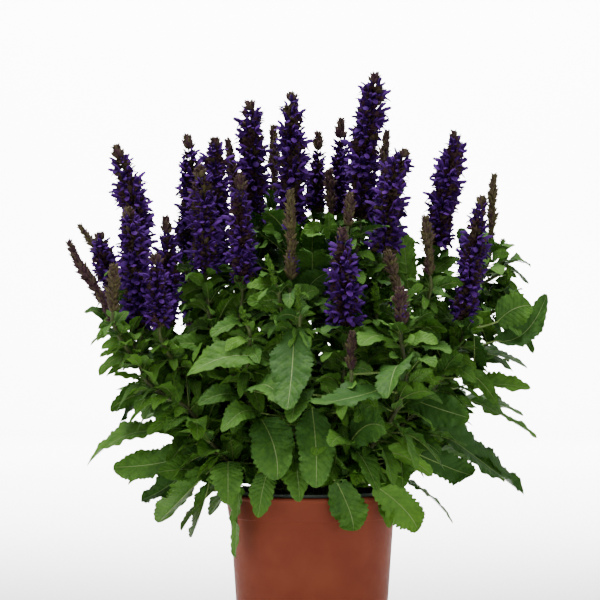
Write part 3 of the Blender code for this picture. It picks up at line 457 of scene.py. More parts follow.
def shell_depth(across: float, down: float, shell: float, share: float) -> float:
    """Depth of the leafy dome's face at a board reading.

    Args:
        across: millimetres across the board.
        down: millimetres down the board.
        shell: 1 on the front face of the dome and 0 at its outline.
        share: share of the dome's radius.

    Returns:
        The depth, negative in front of the board.
    """
    radius = share * float(np.interp(BOARD_RIM - down, DOME_HEIGHTS, DOME_RADII))
    if down > PULL_BELOW:
        shell += FRONT_PULL * (1.0 - shell)
    return -shell * math.sqrt(max(radius**2 - (across - BOARD_AXIS)**2, 0.0))


def leaf_readings() -> Iterator[tuple[list[Array], float, bool]]:
    """Every leaf of the two tables, in the order in which they were placed.

    Returns:
        For each leaf its points in space, its width and whether it was read by eye.
    """
    for shell, width, *readings in LEAVES:
        shares = np.linspace(BASE_SHARE, TIP_SHARE, len(readings))
        yield [on_board(*place, shell_depth(*place, shell, share))
               for place, share in zip(readings, shares)], width, True
    for base_up, tip_up, base_out, tip_out, width, count, first, last in RINGS:
        for step in range(count):
            bearing = math.radians(first + (last - first) * step / (count - 1))
            out = turned(ACROSS, BACK, bearing)
            out *= 1.0 + RING_UNEVENNESS * math.sin(RING_TURNS[0] * step + base_up)
            sway = RING_TIP_SWAY * math.sin(RING_TURNS[1] * step)
            yield [out * base_out + UP * (POT_HEIGHT + base_up),
                   out * tip_out + UP * (POT_HEIGHT + tip_up + sway)], width, False


@dataclass
class Leaf:
    """One leaf in its place.

    Attributes:
        root: where its stalk leaves the stem.
        base: where its blade starts.
        control: the point that its rib bends towards.
        tip: its tip.
        across: direction across the blade.
        normal: direction out of its upper face.
        width: full width of the blade.
    """

    root: Array
    base: Array
    control: Array
    tip: Array
    across: Array
    normal: Array
    width: float

    @property
    def length(self) -> float:
        """Length of the blade from base to tip."""
        return float(np.linalg.norm(self.tip - self.base))


def frame_leaf(points: list[Array], width: float, by_eye: bool) -> Leaf:
    """Work out a leaf's rib and directions from its points.

    A leaf whose width is as seen from the eye point is rolled about its chord until it shows
    the width read. Any other leaf lies level across.

    Args:
        points: the blade's base, a middle point if it has one, and its tip.
        width: the width read.
        by_eye: whether the width is as seen from the eye point.

    Returns:
        The leaf, with its root at its base for now.
    """
    base, tip = points[0], points[-1]
    length = np.linalg.norm(tip - base)
    chord = (tip - base) / length
    centre = 0.5 * (base + tip)
    full_width = max(width, BLADE_RATIO * length)
    middle = points[1] if len(points) == 3 else centre + UP * BLADE_ARCH * length
    lean = UP + OUTWARD_LEAN * unit(centre * [1.0, 1.0, 0.0])
    if by_eye:
        view = unit(centre - EYE)
        flat = unit(np.cross(chord, view))
        front = np.cross(flat, chord)
        roll = math.acos(min(1.0, width / full_width))
        ways = [turned(flat, front, turn) for turn in (roll, -roll)]
        across = max(ways, key=lambda way: abs(np.dot(np.cross(way, chord), lean)))
    else:
        across = unit(np.cross(UP, chord))
    if np.dot(np.cross(across, chord), lean) < 0:
        across = -across
    return Leaf(base, base, 2 * middle - centre, tip, across, np.cross(across, chord), full_width)


class PackedPoints:
    """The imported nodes' vertices, which tell where a piece was really placed."""

    def __init__(self, nodes: dict[str, bpy.types.Object], names: list[str]) -> None:
        """Read the vertices of the named nodes."""
        self.clouds = {name: self.read(nodes[name].data) for name in names}

    @staticmethod
    def read(mesh: bpy.types.Mesh) -> Array:
        """Read a mesh's vertices.

        Args:
            mesh: the mesh, in metres.

        Returns:
            The vertices in millimetres, each once.
        """
        flat = np.empty(3 * len(mesh.vertices), np.float32)
        mesh.vertices.foreach_get("co", flat)
        return np.unique(np.round(flat.reshape(-1, 3).astype(float) / MM, 3), axis=0)

    def gaps(self, name: str, trials: Array) -> Array:
        """How far each trial point is from the nearest vertex of a node."""
        cloud = self.clouds[name]
        return np.linalg.norm(cloud[None] - trials[:, None], axis=2).min(axis=1)


@dataclass
class Stem3:
    """A stem in its place: its path, its branches' paths, taken leaf roots and leaves."""

    paths: list[Array]
    widths: list[tuple[float, float]]
    lines: list[Array]
    roots: list[Array] = field(default_factory=list)
    leaves: list[Leaf] = field(default_factory=list)
    young: list[tuple[Array, float]] = field(default_factory=list)


class Growth:
    """Where every spike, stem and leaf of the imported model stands."""

    def __init__(self, packed: PackedPoints) -> None:
        """Find the places of all pieces, in the order in which they were placed.

        Args:
            packed: what tells where a piece stands.
        """
        self.packed = packed
        self.axes = {name: self.find_spike(name, spike) for name, spike in SPIKES.items()}
        self.stems = {name: self.find_stem(name, stem) for name, stem in STEMS.items()}
        for name, stem in STEMS.items():
            for spike, share in stem.sides:
                self.find_branch(name, share, self.axes[spike], BUTT_GAP)
        for tip in YOUNG_TIPS:
            line = np.array([on_board(across, down, depth * DEPTH_SPREAD)
                             for across, down, depth in tip.points])
            self.find_branch(tip.stem, tip.share, line, -YOUNG_OVERLAP)
            self.stems[tip.stem].young.append((line, tip.width))
        self.found = 0
        for points, width, by_eye in leaf_readings():
            self.find_leaf(points, width, by_eye)

    def find_spike(self, name: str, spike: Spike) -> Array:
        """The spike's line at the depth where its node stands."""
        lines = np.array([[on_board(*point, spike.depth * DEPTH_SPREAD + shift)
                           for point in spike.points] for shift in DEPTH_SHIFTS])
        return lines[self.packed.gaps(name, lines[:, -1]).argmin()]

    def closest_path(self, name: str, trials: list[Array], low: float, top: float) -> Array:
        """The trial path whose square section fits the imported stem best.

        Args:
            name: the stem's node.
            trials: the paths tried.
            low: width at the start.
            top: width at the end.

        Returns:
            The path that fits.
        """
        corners = [square_rings(path, low, top)[1:].reshape(-1, 3) for path in trials]
        misfits = [np.median(self.packed.gaps(name, points)) for points in corners]
        return trials[int(np.argmin(misfits))]

    def find_stem(self, name: str, stem: Stem) -> Stem3:
        """Lead a stem from its hole to its spike, as its node goes.

        Args:
            name: the stem's node.
            stem: its readings.

        Returns:
            The stem, without branches or leaves as yet.
        """
        start = np.array([*stem.foot, SOIL_TOP - HOLE_DEPTH + SEAT_GAP])
        line = self.axes[stem.spike]
        ahead = unit(line[1] - line[0])
        end = line[0] - ahead * BUTT_GAP
        trials = []
        for sway, bend in itertools.product(STEM_SWAYS, DEPTH_SHIFTS):
            way = [on_board(across, down, depth * DEPTH_SPREAD + bend) + sway * ACROSS
                   for across, down, depth in stem.way]
            points = [start + UP * (HOLE_DEPTH + FOOT_RISE), *way, end - ahead * APPROACH]
            trials.append(np.vstack([start, smooth_path(points, STEM_RUNS), end]))
        path = self.closest_path(name, trials, STEM_WIDTH_LOW, STEM_WIDTH_TOP)
        return Stem3([path], [(STEM_WIDTH_LOW, STEM_WIDTH_TOP)], [along_line(path, STEM_ROWS)])

    def find_branch(self, name: str, share: float, line: Array, butt: float) -> None:
        """Lead a branch from a share of the stem's length to the foot of a spike.

        Args:
            name: the stem.
            share: share of the stem's length at which the branch leaves.
            line: the spike's line.
            butt: gap left before the spike's foot.
        """
        stem = self.stems[name]
        root = stem.lines[0][int(share * (len(stem.lines[0]) - 1))]
        ahead = unit(line[1] - line[0])
        end = line[0] - ahead * butt
        droop = 0.5 * (root + end) - UP * BRANCH_SAG * np.linalg.norm(end - root)
        trials = []
        for sag, sway in itertools.product(BRANCH_SAGS, BRANCH_SWAYS):
            points = [root, droop - UP * sag + BACK * sway, end - ahead * APPROACH]
            trials.append(np.vstack([smooth_path(points, BRANCH_RUNS), end]))
        path = self.closest_path(name, trials, BRANCH_WIDTH, BRANCH_WIDTH)
        stem.paths.append(path)
        stem.widths.append((BRANCH_WIDTH, BRANCH_WIDTH))
        stem.lines.append(along_line(path, BRANCH_ROWS))

    def root_spots(self, base: Array) -> dict[str, Array]:
        """The handiest place on each stem for a leaf's stalk to leave it.

        A place costs its distance from the blade, more where it lies above the blade and more
        again where another stalk is near.

        Args:
            base: the foot of the blade.

        Returns:
            The place on each stem, handiest first.
        """
        found = []
        for name, stem in self.stems.items():
            for line in stem.lines:
                inner = line[FIRST_ROOT_ROW:-1]
                inner = inner[inner[:, 2] > SOIL_TOP + STALK_RISE]
                cost = np.linalg.norm(inner - base, axis=1)
                cost += DROP_COST * np.maximum(0, inner[:, 2] - base[2] + STALK_RISE)
                for taken in stem.roots:
                    near = np.linalg.norm(inner - taken, axis=1) < ROOT_SPACING
                    cost += CROWDED_COST * near
                row = int(np.argmin(cost))
                found.append((cost[row], name, inner[row]))
        found.sort(key=lambda item: item[0])
        best: dict[str, Array] = {}
        for _, name, spot in found:
            best.setdefault(name, spot)
        return best

    def find_leaf(self, points: list[Array], width: float, by_eye: bool) -> None:
        """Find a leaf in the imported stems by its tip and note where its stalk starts.

        A leaf that found no room in the model grows where it was read, on the handiest stem.

        Args:
            points: the blade's points as read.
            width: its width.
            by_eye: whether the width is as seen from the eye point.
        """
        trials = []
        for shift, lift in itertools.product(DEPTH_SHIFTS, TIP_LIFTS):
            moved = [shift_along_sight(point, shift) for point in points]
            moved[-1] = moved[-1] + UP * lift
            trials.append(frame_leaf(moved, width, by_eye))
        tips = np.array([leaf.tip + 0.5 * BLADE_THICKNESS * leaf.normal for leaf in trials])
        names = list(self.stems)
        gaps = np.array([self.packed.gaps(name, tips) for name in names])
        row, trial = np.unravel_index(int(gaps.argmin()), gaps.shape)
        if gaps[row, trial] > FIT_LIMIT:
            leaf = trials[0]
            name = next(iter(self.root_spots(leaf.base)))
        else:
            leaf = trials[trial]
            name = names[row]
            self.found += 1
        leaf.root = self.root_spots(leaf.base)[name]
        self.stems[name].roots.append(leaf.root)
        self.stems[name].leaves.append(leaf)


class Patchwork:
    """Gathers grid surfaces and makes them one mesh.

    Each point has a tone, a number from 0 to 1 that the finishes read as an attribute, and each
    grid has a UV map: across it from 0 to 1, then along it from 0 to 1.
    """

    def __init__(self) -> None:
        """Start with no surfaces."""
        self.points: list[Array] = []
        self.quads: list[Array] = []
        self.uvs: list[Array] = []
        self.tones: list[Array] = []
        self.kinds: list[Array] = []
        self.count = 0

    def add(self, grids: Array, tones: Array | float = 0.5, kind: int = 0) -> None:
        """Add one grid surface or many of the same size.

        Args:
            grids: points in millimetres, as (rows, columns, 3) or (grids, rows, columns, 3).
            tones: one tone for all, or one for each grid.
            kind: number of the material slot.
        """
        if grids.ndim == 3:
            grids = grids[None]
        number, rows, columns, _ = grids.shape
        size = rows * columns
        index = self.count + np.arange(number * size).reshape(number, rows, columns)
        quads = np.stack([index[:, :-1, :-1], index[:, :-1, 1:], index[:, 1:, 1:],
                          index[:, 1:, :-1]], axis=-1).reshape(-1, 4)
        across, along = np.meshgrid(np.linspace(0, 1, columns), np.linspace(0, 1, rows))
        uv = np.stack([across, along], axis=-1).reshape(-1, 2)
        self.points.append(grids.reshape(-1, 3))
        self.quads.append(quads)
        self.uvs.append(np.tile(uv, (number, 1)))
        self.tones.append(np.repeat(np.broadcast_to(tones, number), size))
        self.kinds.append(np.full(len(quads), kind))
        self.count += number * size

    def make(self, name: str, materials: list[Material]) -> bpy.types.Object:
        """Make the gathered surfaces one object at the origin, its seams and poles closed.

        Args:
            name: name of the object.
            materials: its material slots, in the order of the kinds.

        Returns:
            The object, smooth shaded.
        """
        quads = np.concatenate(self.quads)
        mesh = bpy.data.meshes.new(name)
        mesh.from_pydata(np.concatenate(self.points) * MM, [], quads.tolist())
        corners = quads.ravel()
        layer = mesh.uv_layers.new(name="UVMap")
        layer.uv.foreach_set("vector", np.concatenate(self.uvs)[corners].ravel())
        tone = mesh.attributes.new("tone", "FLOAT", "POINT")
        tone.data.foreach_set("value", np.concatenate(self.tones).astype(np.float32))
        mesh.polygons.foreach_set("material_index", np.concatenate(self.kinds).astype(np.int32))
        work = bmesh.new()
        work.from_mesh(mesh)
        bmesh.ops.remove_doubles(work, verts=work.verts[:], dist=WELD_DISTANCE * MM)
        work.to_mesh(mesh)
        work.free()
        mesh.shade_smooth()
        for material in materials:
            mesh.materials.append(material)
        made = bpy.data.objects.new(name, mesh)
        bpy.context.scene.collection.objects.link(made)
        return made


def tube_grid(path: Array, radii: Array | float, sides: int, guide: Array = BACK,
              squareness: float = 0.0) -> Array:
    """A tube along a path: each ring is its point plus radius times (cos a side + sin a other).

    Args:
        path: points along the tube.
        radii: radius at each point, or one for all.
        sides: sides of the ring.
        guide: direction that the ring's sides are set square to.
        squareness: 0 for a round ring, and more for one with four corners.

    Returns:
        A grid with its first and last columns on the same seam.
    """
    side, other, _ = path_frames(path, guide)
    angle = np.linspace(0, 2 * math.pi, sides + 1)
    reach = 1.0 + squareness * np.cos(4 * angle)
    ring = turned(side[:, None], other[:, None], angle[:, None])
    radius = np.broadcast_to(radii, len(path))[:, None, None]
    return path[:, None] + radius * reach[None, :, None] * ring


def lathe_grid(profile: Array, sides: int) -> Array:
    """A surface turned round +Z: each profile point (r, z) gives (r cos a, r sin a, z).

    Args:
        profile: points (r, z), as rows.
        sides: sides of each ring.

    Returns:
        A grid with its first and last columns on the same seam.
    """
    angle = np.linspace(0, 2 * math.pi, sides + 1)
    radius = profile[:, :1]
    return surface(radius * np.cos(angle), radius * np.sin(angle), profile[:, 1:])


def set_on(template: Array, origins: Array, frames: Array, sizes: Array) -> Array:
    """Copies of a template grid: origin + size times (x out + y side + z up).

    Args:
        template: points of the shape, (rows, columns, 3).
        origins: where each copy goes, (copies, 3).
        frames: each copy's out, side and up directions, (copies, 3, 3).
        sizes: scale of each copy.

    Returns:
        The copies, (copies, rows, columns, 3).
    """
    facing = np.einsum("rck,nkd->nrcd", template, frames)
    return origins[:, None, None] + sizes[:, None, None, None] * facing


def arc(centre: tuple[float, float], radius: float, start: float, end: float,
        count: int = 6) -> Array:
    """Points of an arc in a profile, from one angle to another in degrees."""
    angle = np.radians(np.linspace(start, end, count))
    return np.stack([centre[0] + radius * np.cos(angle), centre[1] + radius * np.sin(angle)], 1)


def linear(hex_colour: str) -> tuple[float, float, float, float]:
    """An sRGB hex colour as linear red, green, blue and full opacity."""
    channels = [int(hex_colour[i:i + 2], 16) / 255 for i in (1, 3, 5)]
    return (*[c / 12.92 if c < 0.04045 else ((c + 0.055) / 1.055)**2.4 for c in channels], 1.0)


def add_node(tree: bpy.types.NodeTree, kind: str, inputs: dict | None = None,
             **settings: object) -> bpy.types.Node:
    """Add a node with its settings, values and links.

    Args:
        tree: the material's node tree.
        kind: type of the node.
        inputs: what goes into each input, by name or number: a value, an output to link, or
            a node whose first output is linked.
        settings: properties of the node.

    Returns:
        The node.
    """
    node = tree.nodes.new(kind)
    for name, value in settings.items():
        setattr(node, name, value)
    for socket, value in (inputs or {}).items():
        if isinstance(value, bpy.types.Node):
            value = value.outputs[0]
        if isinstance(value, bpy.types.NodeSocket):
            tree.links.new(value, node.inputs[socket])
        else:
            node.inputs[socket].default_value = value
    return node


@dataclass(frozen=True)
class Finish:
    """What every finish has: a name, a roughness and a specular level."""

    name: str
    roughness: float = 0.5
    specular: float = 0.5

    def start(self) -> tuple[Material, bpy.types.NodeTree]:
        """Start a material whose shader has the finish's constants.

        Returns:
            The material and its node tree.
        """
        made = bpy.data.materials.new(self.name)
        made.use_nodes = True
        shader = made.node_tree.nodes["Principled BSDF"]
        shader.inputs["Roughness"].default_value = self.roughness
        shader.inputs["Specular IOR Level"].default_value = self.specular
        return made, made.node_tree

    @staticmethod
    def blotches(place: bpy.types.NodeSocket, size_mm: float, detail: float = 3.0) -> dict:
        """What goes into a noise whose blotches are about a size in millimetres."""
        return {"Vector": place, "Scale": 1.0 / (size_mm * MM), "Detail": detail}

    @staticmethod
    def end(tree: bpy.types.NodeTree, colour: bpy.types.NodeSocket, height: bpy.types.Node,
            strength: float, depth_mm: float) -> None:
        """Link the base colour and the relief to the shader.

        Args:
            tree: the material's node tree.
            colour: the base colour.
            height: the node that gives the relief's height.
            strength: strength of the relief.
            depth_mm: depth of the relief in millimetres.
        """
        bump = add_node(tree, "ShaderNodeBump", {"Height": height, "Strength": strength,
                                                 "Distance": depth_mm * MM})
        shader = tree.nodes["Principled BSDF"]
        tree.links.new(colour, shader.inputs["Base Color"])
        tree.links.new(bump.outputs["Normal"], shader.inputs["Normal"])


@dataclass(frozen=True)
class LeafFinish(Finish):
    """A living sage leaf: matt green skin puckered between a net of sunken veins."""

    dark: str = "#2e511c"
    bright: str = "#5b882b"
    pale: str = "#95a96e"
    rib_half: tuple[float, float] = (0.004, 0.016)
    rib_paleness: float = 0.75
    vein_pairs: float = 9.0
    vein_lean: float = 4.0
    vein_half: float = 0.3
    # painted shade: how far the sunken side veins are darkened towards the dark green
    vein_painted_shade: float = 0.12
    vein_sink: float = 0.5
    blotch_mm: float = 18.0
    blotch_share: float = 0.7
    mottle_mm: float = 4.5
    mottle_share: float = 0.6
    pucker_mm: float = 2.6
    pucker_rise: float = 0.8
    pucker_depth_mm: float = 0.7
    # painted light: the blade is painted darker at its base and lighter towards its tip
    painted_light_to_tip: float = 0.35
    relief: float = 0.9

    def make(self) -> Material:
        """Build the material.

        The side veins run where v times the number of pairs, less a lean times the distance from
        the rib, is a whole number; there the skin is painted darker, as shade in the sunken veins.
        Puckers are cells a few millimetres wide.

        Returns:
            The material.
        """
        material, tree = self.start()
        place = add_node(tree, "ShaderNodeTexCoord").outputs["Object"]
        tone = add_node(tree, "ShaderNodeAttribute", attribute_name="tone").outputs["Fac"]
        uv = add_node(tree, "ShaderNodeSeparateXYZ", {0: add_node(tree, "ShaderNodeUVMap")})
        off = add_node(tree, "ShaderNodeMath", {0: uv, 1: 0.5}, operation="SUBTRACT")
        away = add_node(tree, "ShaderNodeMath", {0: off}, operation="ABSOLUTE")
        rib = add_node(tree, "ShaderNodeMapRange", {
            0: away, 1: self.rib_half[0], 2: self.rib_half[1], 3: 1.0, 4: 0.0})
        leaning = add_node(tree, "ShaderNodeMath", {0: away, 1: -self.vein_lean},
                           operation="MULTIPLY")
        count = add_node(tree, "ShaderNodeMath", {
            0: uv.outputs["Y"], 1: self.vein_pairs, 2: leaning}, operation="MULTIPLY_ADD")
        near = add_node(tree, "ShaderNodeMath", {0: count, 1: 0.5}, operation="PINGPONG")
        vein = add_node(tree, "ShaderNodeMapRange", {
            0: near, 1: 0.0, 2: self.vein_half, 3: 1.0, 4: 0.0})
        blotch = add_node(tree, "ShaderNodeTexNoise", self.blotches(place, self.blotch_mm))
        mottle = add_node(tree, "ShaderNodeTexNoise", self.blotches(place, self.mottle_mm))
        # the tone takes two blotch noises and a painted light that grows from base to tip
        middle = 0.5 * (self.blotch_share + self.mottle_share + self.painted_light_to_tip)
        shares = ((blotch, self.blotch_share), (mottle, self.mottle_share),
                  (uv.outputs["Y"], self.painted_light_to_tip))
        uneven: bpy.types.Node | float = -middle
        for source, part in shares:
            uneven = add_node(tree, "ShaderNodeMath", {0: source, 1: part, 2: uneven},
                              operation="MULTIPLY_ADD")
        share = add_node(tree, "ShaderNodeMath", {0: tone, 1: uneven}, operation="ADD",
                         use_clamp=True)
        skin = add_node(tree, "ShaderNodeMix", {
            0: share, 6: linear(self.dark), 7: linear(self.bright)}, data_type="RGBA")
        # painted shade: the skin is darkened along the sunken side veins
        vein_shade = add_node(tree, "ShaderNodeMath", {0: vein, 1: self.vein_painted_shade},
                         operation="MULTIPLY")
        veined = add_node(tree, "ShaderNodeMix", {
            0: vein_shade, 6: skin.outputs[2], 7: linear(self.dark)}, data_type="RGBA")
        strong = add_node(tree, "ShaderNodeMath", {0: rib, 1: self.rib_paleness},
                          operation="MULTIPLY")
        ribbed = add_node(tree, "ShaderNodeMix", {
            0: strong, 6: veined.outputs[2], 7: linear(self.pale)}, data_type="RGBA")
        cells = add_node(tree, "ShaderNodeTexVoronoi", {
            "Vector": place, "Scale": 1.0 / (self.pucker_mm * MM)}, feature="SMOOTH_F1")
        puckers = add_node(tree, "ShaderNodeMath", {0: cells, 1: -self.pucker_rise, 2: 1.0},
                           operation="MULTIPLY_ADD")
        sunk = add_node(tree, "ShaderNodeMath", {0: vein, 1: rib}, operation="MAXIMUM")
        height = add_node(tree, "ShaderNodeMath", {0: sunk, 1: -self.vein_sink, 2: puckers},
                          operation="MULTIPLY_ADD")
        self.end(tree, ribbed.outputs[2], height, self.relief, self.pucker_depth_mm)
        return material


@dataclass(frozen=True)
class TissueFinish(Finish):
    """Stem, calyx, bract or petal tissue: two colours blended by tone, with fine blotches."""

    low: str = "#3c2430"
    high: str = "#5d6a38"
    tip: str = "#5d6a38"
    tip_share: float = 0.0
    blotch_mm: float = 3.0
    contrast: float = 0.5
    relief: float = 0.4
    relief_mm: float = 0.2

    def make(self) -> Material:
        """Build the material, with the tip's colour growing along v.

        Returns:
            The material.
        """
        material, tree = self.start()
        place = add_node(tree, "ShaderNodeTexCoord").outputs["Object"]
        tone = add_node(tree, "ShaderNodeAttribute", attribute_name="tone").outputs["Fac"]
        uv = add_node(tree, "ShaderNodeSeparateXYZ", {0: add_node(tree, "ShaderNodeUVMap")})
        blotch = add_node(tree, "ShaderNodeTexNoise", self.blotches(place, self.blotch_mm))
        uneven = add_node(tree, "ShaderNodeMath", {
            0: blotch, 1: self.contrast, 2: -0.5 * self.contrast}, operation="MULTIPLY_ADD")
        share = add_node(tree, "ShaderNodeMath", {0: tone, 1: uneven}, operation="ADD",
                         use_clamp=True)
        skin = add_node(tree, "ShaderNodeMix", {
            0: share, 6: linear(self.low), 7: linear(self.high)}, data_type="RGBA")
        upward = add_node(tree, "ShaderNodeMath", {0: uv.outputs["Y"], 1: self.tip_share},
                          operation="MULTIPLY")
        tipped = add_node(tree, "ShaderNodeMix", {
            0: upward, 6: skin.outputs[2], 7: linear(self.tip)}, data_type="RGBA")
        self.end(tree, tipped.outputs[2], blotch, self.relief, self.relief_mm)
        return material


@dataclass(frozen=True)
class GrainedFinish(Finish):
    """Plastic, compost or paper: clouds of two colours and a fine grain in relief."""

    low: str = "#783a2a"
    high: str = "#84432f"
    cloud_mm: float = 45.0
    cloud_detail: float = 4.0
    cloud_span: tuple[float, float] = (0.35, 0.7)
    grain_mm: float = 0.7
    grain_detail: float = 2.0
    relief: float = 0.25
    relief_mm: float = 0.08
    scuff_mm: float = 6.0
    scuff_detail: float = 6.0
    scuff_span: tuple[float, float] = (0.3, 0.7)
    scuff: tuple[float, float] = (-0.06, 0.08)

    def make(self) -> Material:
        """Build the material, whose roughness wanders between the two ends of the scuff.

        Returns:
            The material.
        """
        material, tree = self.start()
        place = add_node(tree, "ShaderNodeTexCoord").outputs["Object"]
        cloud = add_node(tree, "ShaderNodeTexNoise",
                         self.blotches(place, self.cloud_mm, self.cloud_detail))
        share = add_node(tree, "ShaderNodeMapRange", {
            0: cloud, 1: self.cloud_span[0], 2: self.cloud_span[1]})
        skin = add_node(tree, "ShaderNodeMix", {
            0: share, 6: linear(self.low), 7: linear(self.high)}, data_type="RGBA")
        if any(self.scuff):
            scuffs = add_node(tree, "ShaderNodeTexNoise",
                              self.blotches(place, self.scuff_mm, self.scuff_detail))
            low, high = self.scuff_span
            dull = add_node(tree, "ShaderNodeMapRange", {
                0: scuffs, 1: low, 2: high, 3: self.roughness + self.scuff[0],
                4: self.roughness + self.scuff[1]})
            tree.links.new(dull.outputs[0], tree.nodes["Principled BSDF"].inputs["Roughness"])
        grain = add_node(tree, "ShaderNodeTexNoise",
                         self.blotches(place, self.grain_mm, self.grain_detail))
        self.end(tree, skin.outputs[2], grain, self.relief, self.relief_mm)
        return material


# sage leaf, grown: dull green skin, quilted, with a pale rib; painted shade in its sunken
# veins and painted light growing towards its tip
LEAF = LeafFinish("sage_leaf", roughness=0.6, specular=0.15)
# leaf stalk and square stem, grown: purple in the light and green in shade
STEM = TissueFinish("sage_stem", 0.6, 0.3, low="#2c1a1c", high="#769048", tip="#769048",
                    blotch_mm=5.0)
# calyx and bract, grown: dull dark purple-brown, some turning green
CALYX = TissueFinish("sage_calyx", 0.7, 0.15, low="#3a242e", high="#5c5c30", tip="#482834",
                     tip_share=0.45, blotch_mm=2.0, contrast=0.8)
# petal, grown: velvety blue-violet, darker towards its edge
PETAL = TissueFinish("sage_petal", 0.7, 0.1, low="#381a58", high="#5e2a86", tip="#40146a",
                     tip_share=0.6, blotch_mm=2.5, contrast=0.6)
# terracotta-coloured polypropylene, injection-moulded: satin, with faint flow clouds; its grain
# is drawn coarser than life, so that it shows close by
POT = GrainedFinish("terracotta_polypropylene", 0.55, 0.06)
# grey-green polypropylene, thermoformed: dull
NURSERY = GrainedFinish("grey_polypropylene", 0.55, 0.4, low="#3c4640", high="#4d5850")
# moist peat compost, loose: near-black crumbs with a few brown fibres
COMPOST = GrainedFinish("peat_compost", 0.95, 0.2, low="#0d0906", high="#33251a", cloud_mm=1.6,
                        cloud_detail=6.0, cloud_span=(0.45, 0.75), grain_mm=1.6,
                        grain_detail=6.0, relief=0.9, relief_mm=1.2, scuff=(0.0, 0.0))
# background paper of a photographer's sweep, pressed: matt; its fibre is too fine to show and is
# drawn 3 mm long
PAPER = GrainedFinish("sweep_paper", 0.9, 0.1, low="#f2f2f2", high="#f2f2f2", grain_mm=3.0,
                      grain_detail=4.0, relief=0.05, relief_mm=0.1, scuff=(0.0, 0.0))


class Organ(Enum):
    """The parts of a floret, each a small grid worked out once."""

    HOOD = "upper lip"
    LIP = "lower lip"
    THROAT = "corolla tube"
    STYLE = "style"
    CALYX = "open calyx"
    BUD = "closed calyx"
    BRACT = "bract"


def hood_grid() -> Array:
    """Upper lip: an arched strip along a sickle, drawn in to its tip.

    With u from 0 to 1 along and a from -105 to 105 degrees across, its middle runs
    x = 6 + 8.4 sin 1.5u, z = 0.6 + 6.4u - 4u², and its half width is 1.7(1 - 0.7u⁴), bent by a.

    Returns:
        The grid, from its foot outwards.
    """
    u = np.array([0.0, 0.4, 0.8, 1.0])[:, None]
    a = np.radians(np.linspace(-105, 105, 4))[None]
    half = 1.7 * (1 - 0.7 * u**4)
    middle = 0.6 + 6.4 * u - 4.0 * u**2
    return surface(6 + 8.4 * np.sin(1.5 * u), half * np.sin(a), middle + half * np.cos(a))


def lip_grid() -> Array:
    """Lower lip: a rounded tongue that hangs from the throat.

    With r from 0 to 1 outwards and t from -1 to 1 across, the half width is
    2 sin(pi(0.14 + 0.86r)^0.9)^0.6 and the middle drops by 4.4r^1.5.

    Returns:
        The grid, from its foot outwards.
    """
    r = np.array([0.0, 0.35, 0.75, 1.0])[:, None]
    t = np.linspace(-1, 1, 4)[None]
    half = 2.0 * np.sin(math.pi * (0.14 + 0.86 * r)**0.9).clip(0)**0.6
    drop = 4.4 * r**1.5 + 0.5 * half * t**2
    return surface(8.8 + 3.8 * np.sin(1.3 * r), half * t, 0.6 - drop)


def throat_grid() -> Array:
    """Corolla tube: a five-sided tube from x = 5 to 10 whose radius grows from 1 to 1.6.

    Returns:
        The grid, from its foot outwards.
    """
    u = np.linspace(0, 1, 2)[:, None]
    a = np.linspace(0, 2 * math.pi, 6)[None]
    radius = 1.0 + 0.6 * u
    return surface(5 + 5 * u, radius * np.sin(a), 0.5 + radius * np.cos(a))


def style_grid() -> Array:
    """Style: a fine ribbon from x = 13.6 to 17.6 that leaves the hood's tip and rises by 1.4.

    Returns:
        The grid, from its foot outwards.
    """
    u = np.linspace(0, 1, 2)[:, None]
    w = np.array([[-0.13, 0.13]])
    return surface(13.6 + 4.0 * u, w * (1.2 - 0.6 * u), 3.6 + 1.4 * u)


def calyx_grid() -> Array:
    """Open calyx: a bell of radius 0.8 + 1.3u^0.7 with two long teeth and two short ones.

    Returns:
        The grid, from its foot outwards.
    """
    u = np.array([0.0, 0.4, 1.0])[:, None]
    a = np.linspace(0, 2 * math.pi, 9)[None]
    radius = 0.8 + 1.3 * u**0.7
    teeth = 2.2 * np.abs(np.cos(2 * a)) * (0.75 + 0.25 * np.cos(2 * a)) * (u == 1.0)
    return surface(0.6 + 6.2 * u + teeth, radius * np.sin(a), 0.9 * radius * np.cos(a))


def bud_grid() -> Array:
    """Closed calyx: a sharp egg of radius 1.5 sin(pi u^0.7), 7.6 long, that curves up.

    Returns:
        The grid, from its foot outwards.
    """
    u = np.array([0.0, 0.25, 0.55, 0.8, 1.0])[:, None]
    a = np.linspace(0, 2 * math.pi, 6)[None]
    radius = 1.5 * np.sin(math.pi * u**0.7).clip(0) + 0.5 * (1 - u)
    return surface(0.6 + 7.6 * u, radius * np.sin(a), 1.4 * u**2 + radius * np.cos(a))


def bract_grid() -> Array:
    """Bract: a pointed egg-shaped blade, 9 long, folded along its rib and curved back.

    Returns:
        The grid, from its foot outwards.
    """
    u = np.linspace(0, 1, 6)[:, None]
    t = np.linspace(-1, 1, 5)[None]
    half = 2.4 * np.sin(math.pi * u**0.6).clip(0) * (1 - 0.25 * u)
    return surface(9.0 * u, half * t, 0.5 * np.abs(half * t) - 0.8 * u**2)


ORGANS = {Organ.HOOD: hood_grid(), Organ.LIP: lip_grid(), Organ.THROAT: throat_grid(),
          Organ.STYLE: style_grid(), Organ.CALYX: calyx_grid(), Organ.BUD: bud_grid(),
          Organ.BRACT: bract_grid()}
COROLLA = (Organ.HOOD, Organ.LIP, Organ.THROAT)


class Bloom(Enum):
    """What a spike carries."""

    OPEN = "flowers with a tip of buds"
    BUDS = "closed buds"
    YOUNG = "green young buds"


@dataclass(frozen=True)
class Whorl:
    """How organs stand round a spike's axis.

    Attributes:
        count: organs in a whorl.
        rise: lowest and highest angle above square to the axis, in degrees.
        stray: how far an organ strays along the axis, in millimetres.
        life_size: radius of the spike at which an organ has the size of its grid.
        sizes: least and greatest part of that size, or None where all have the same.
    """

    count: int
    rise: tuple[float, float]
    stray: float
    life_size: float
    sizes: tuple[float, float] | None = None


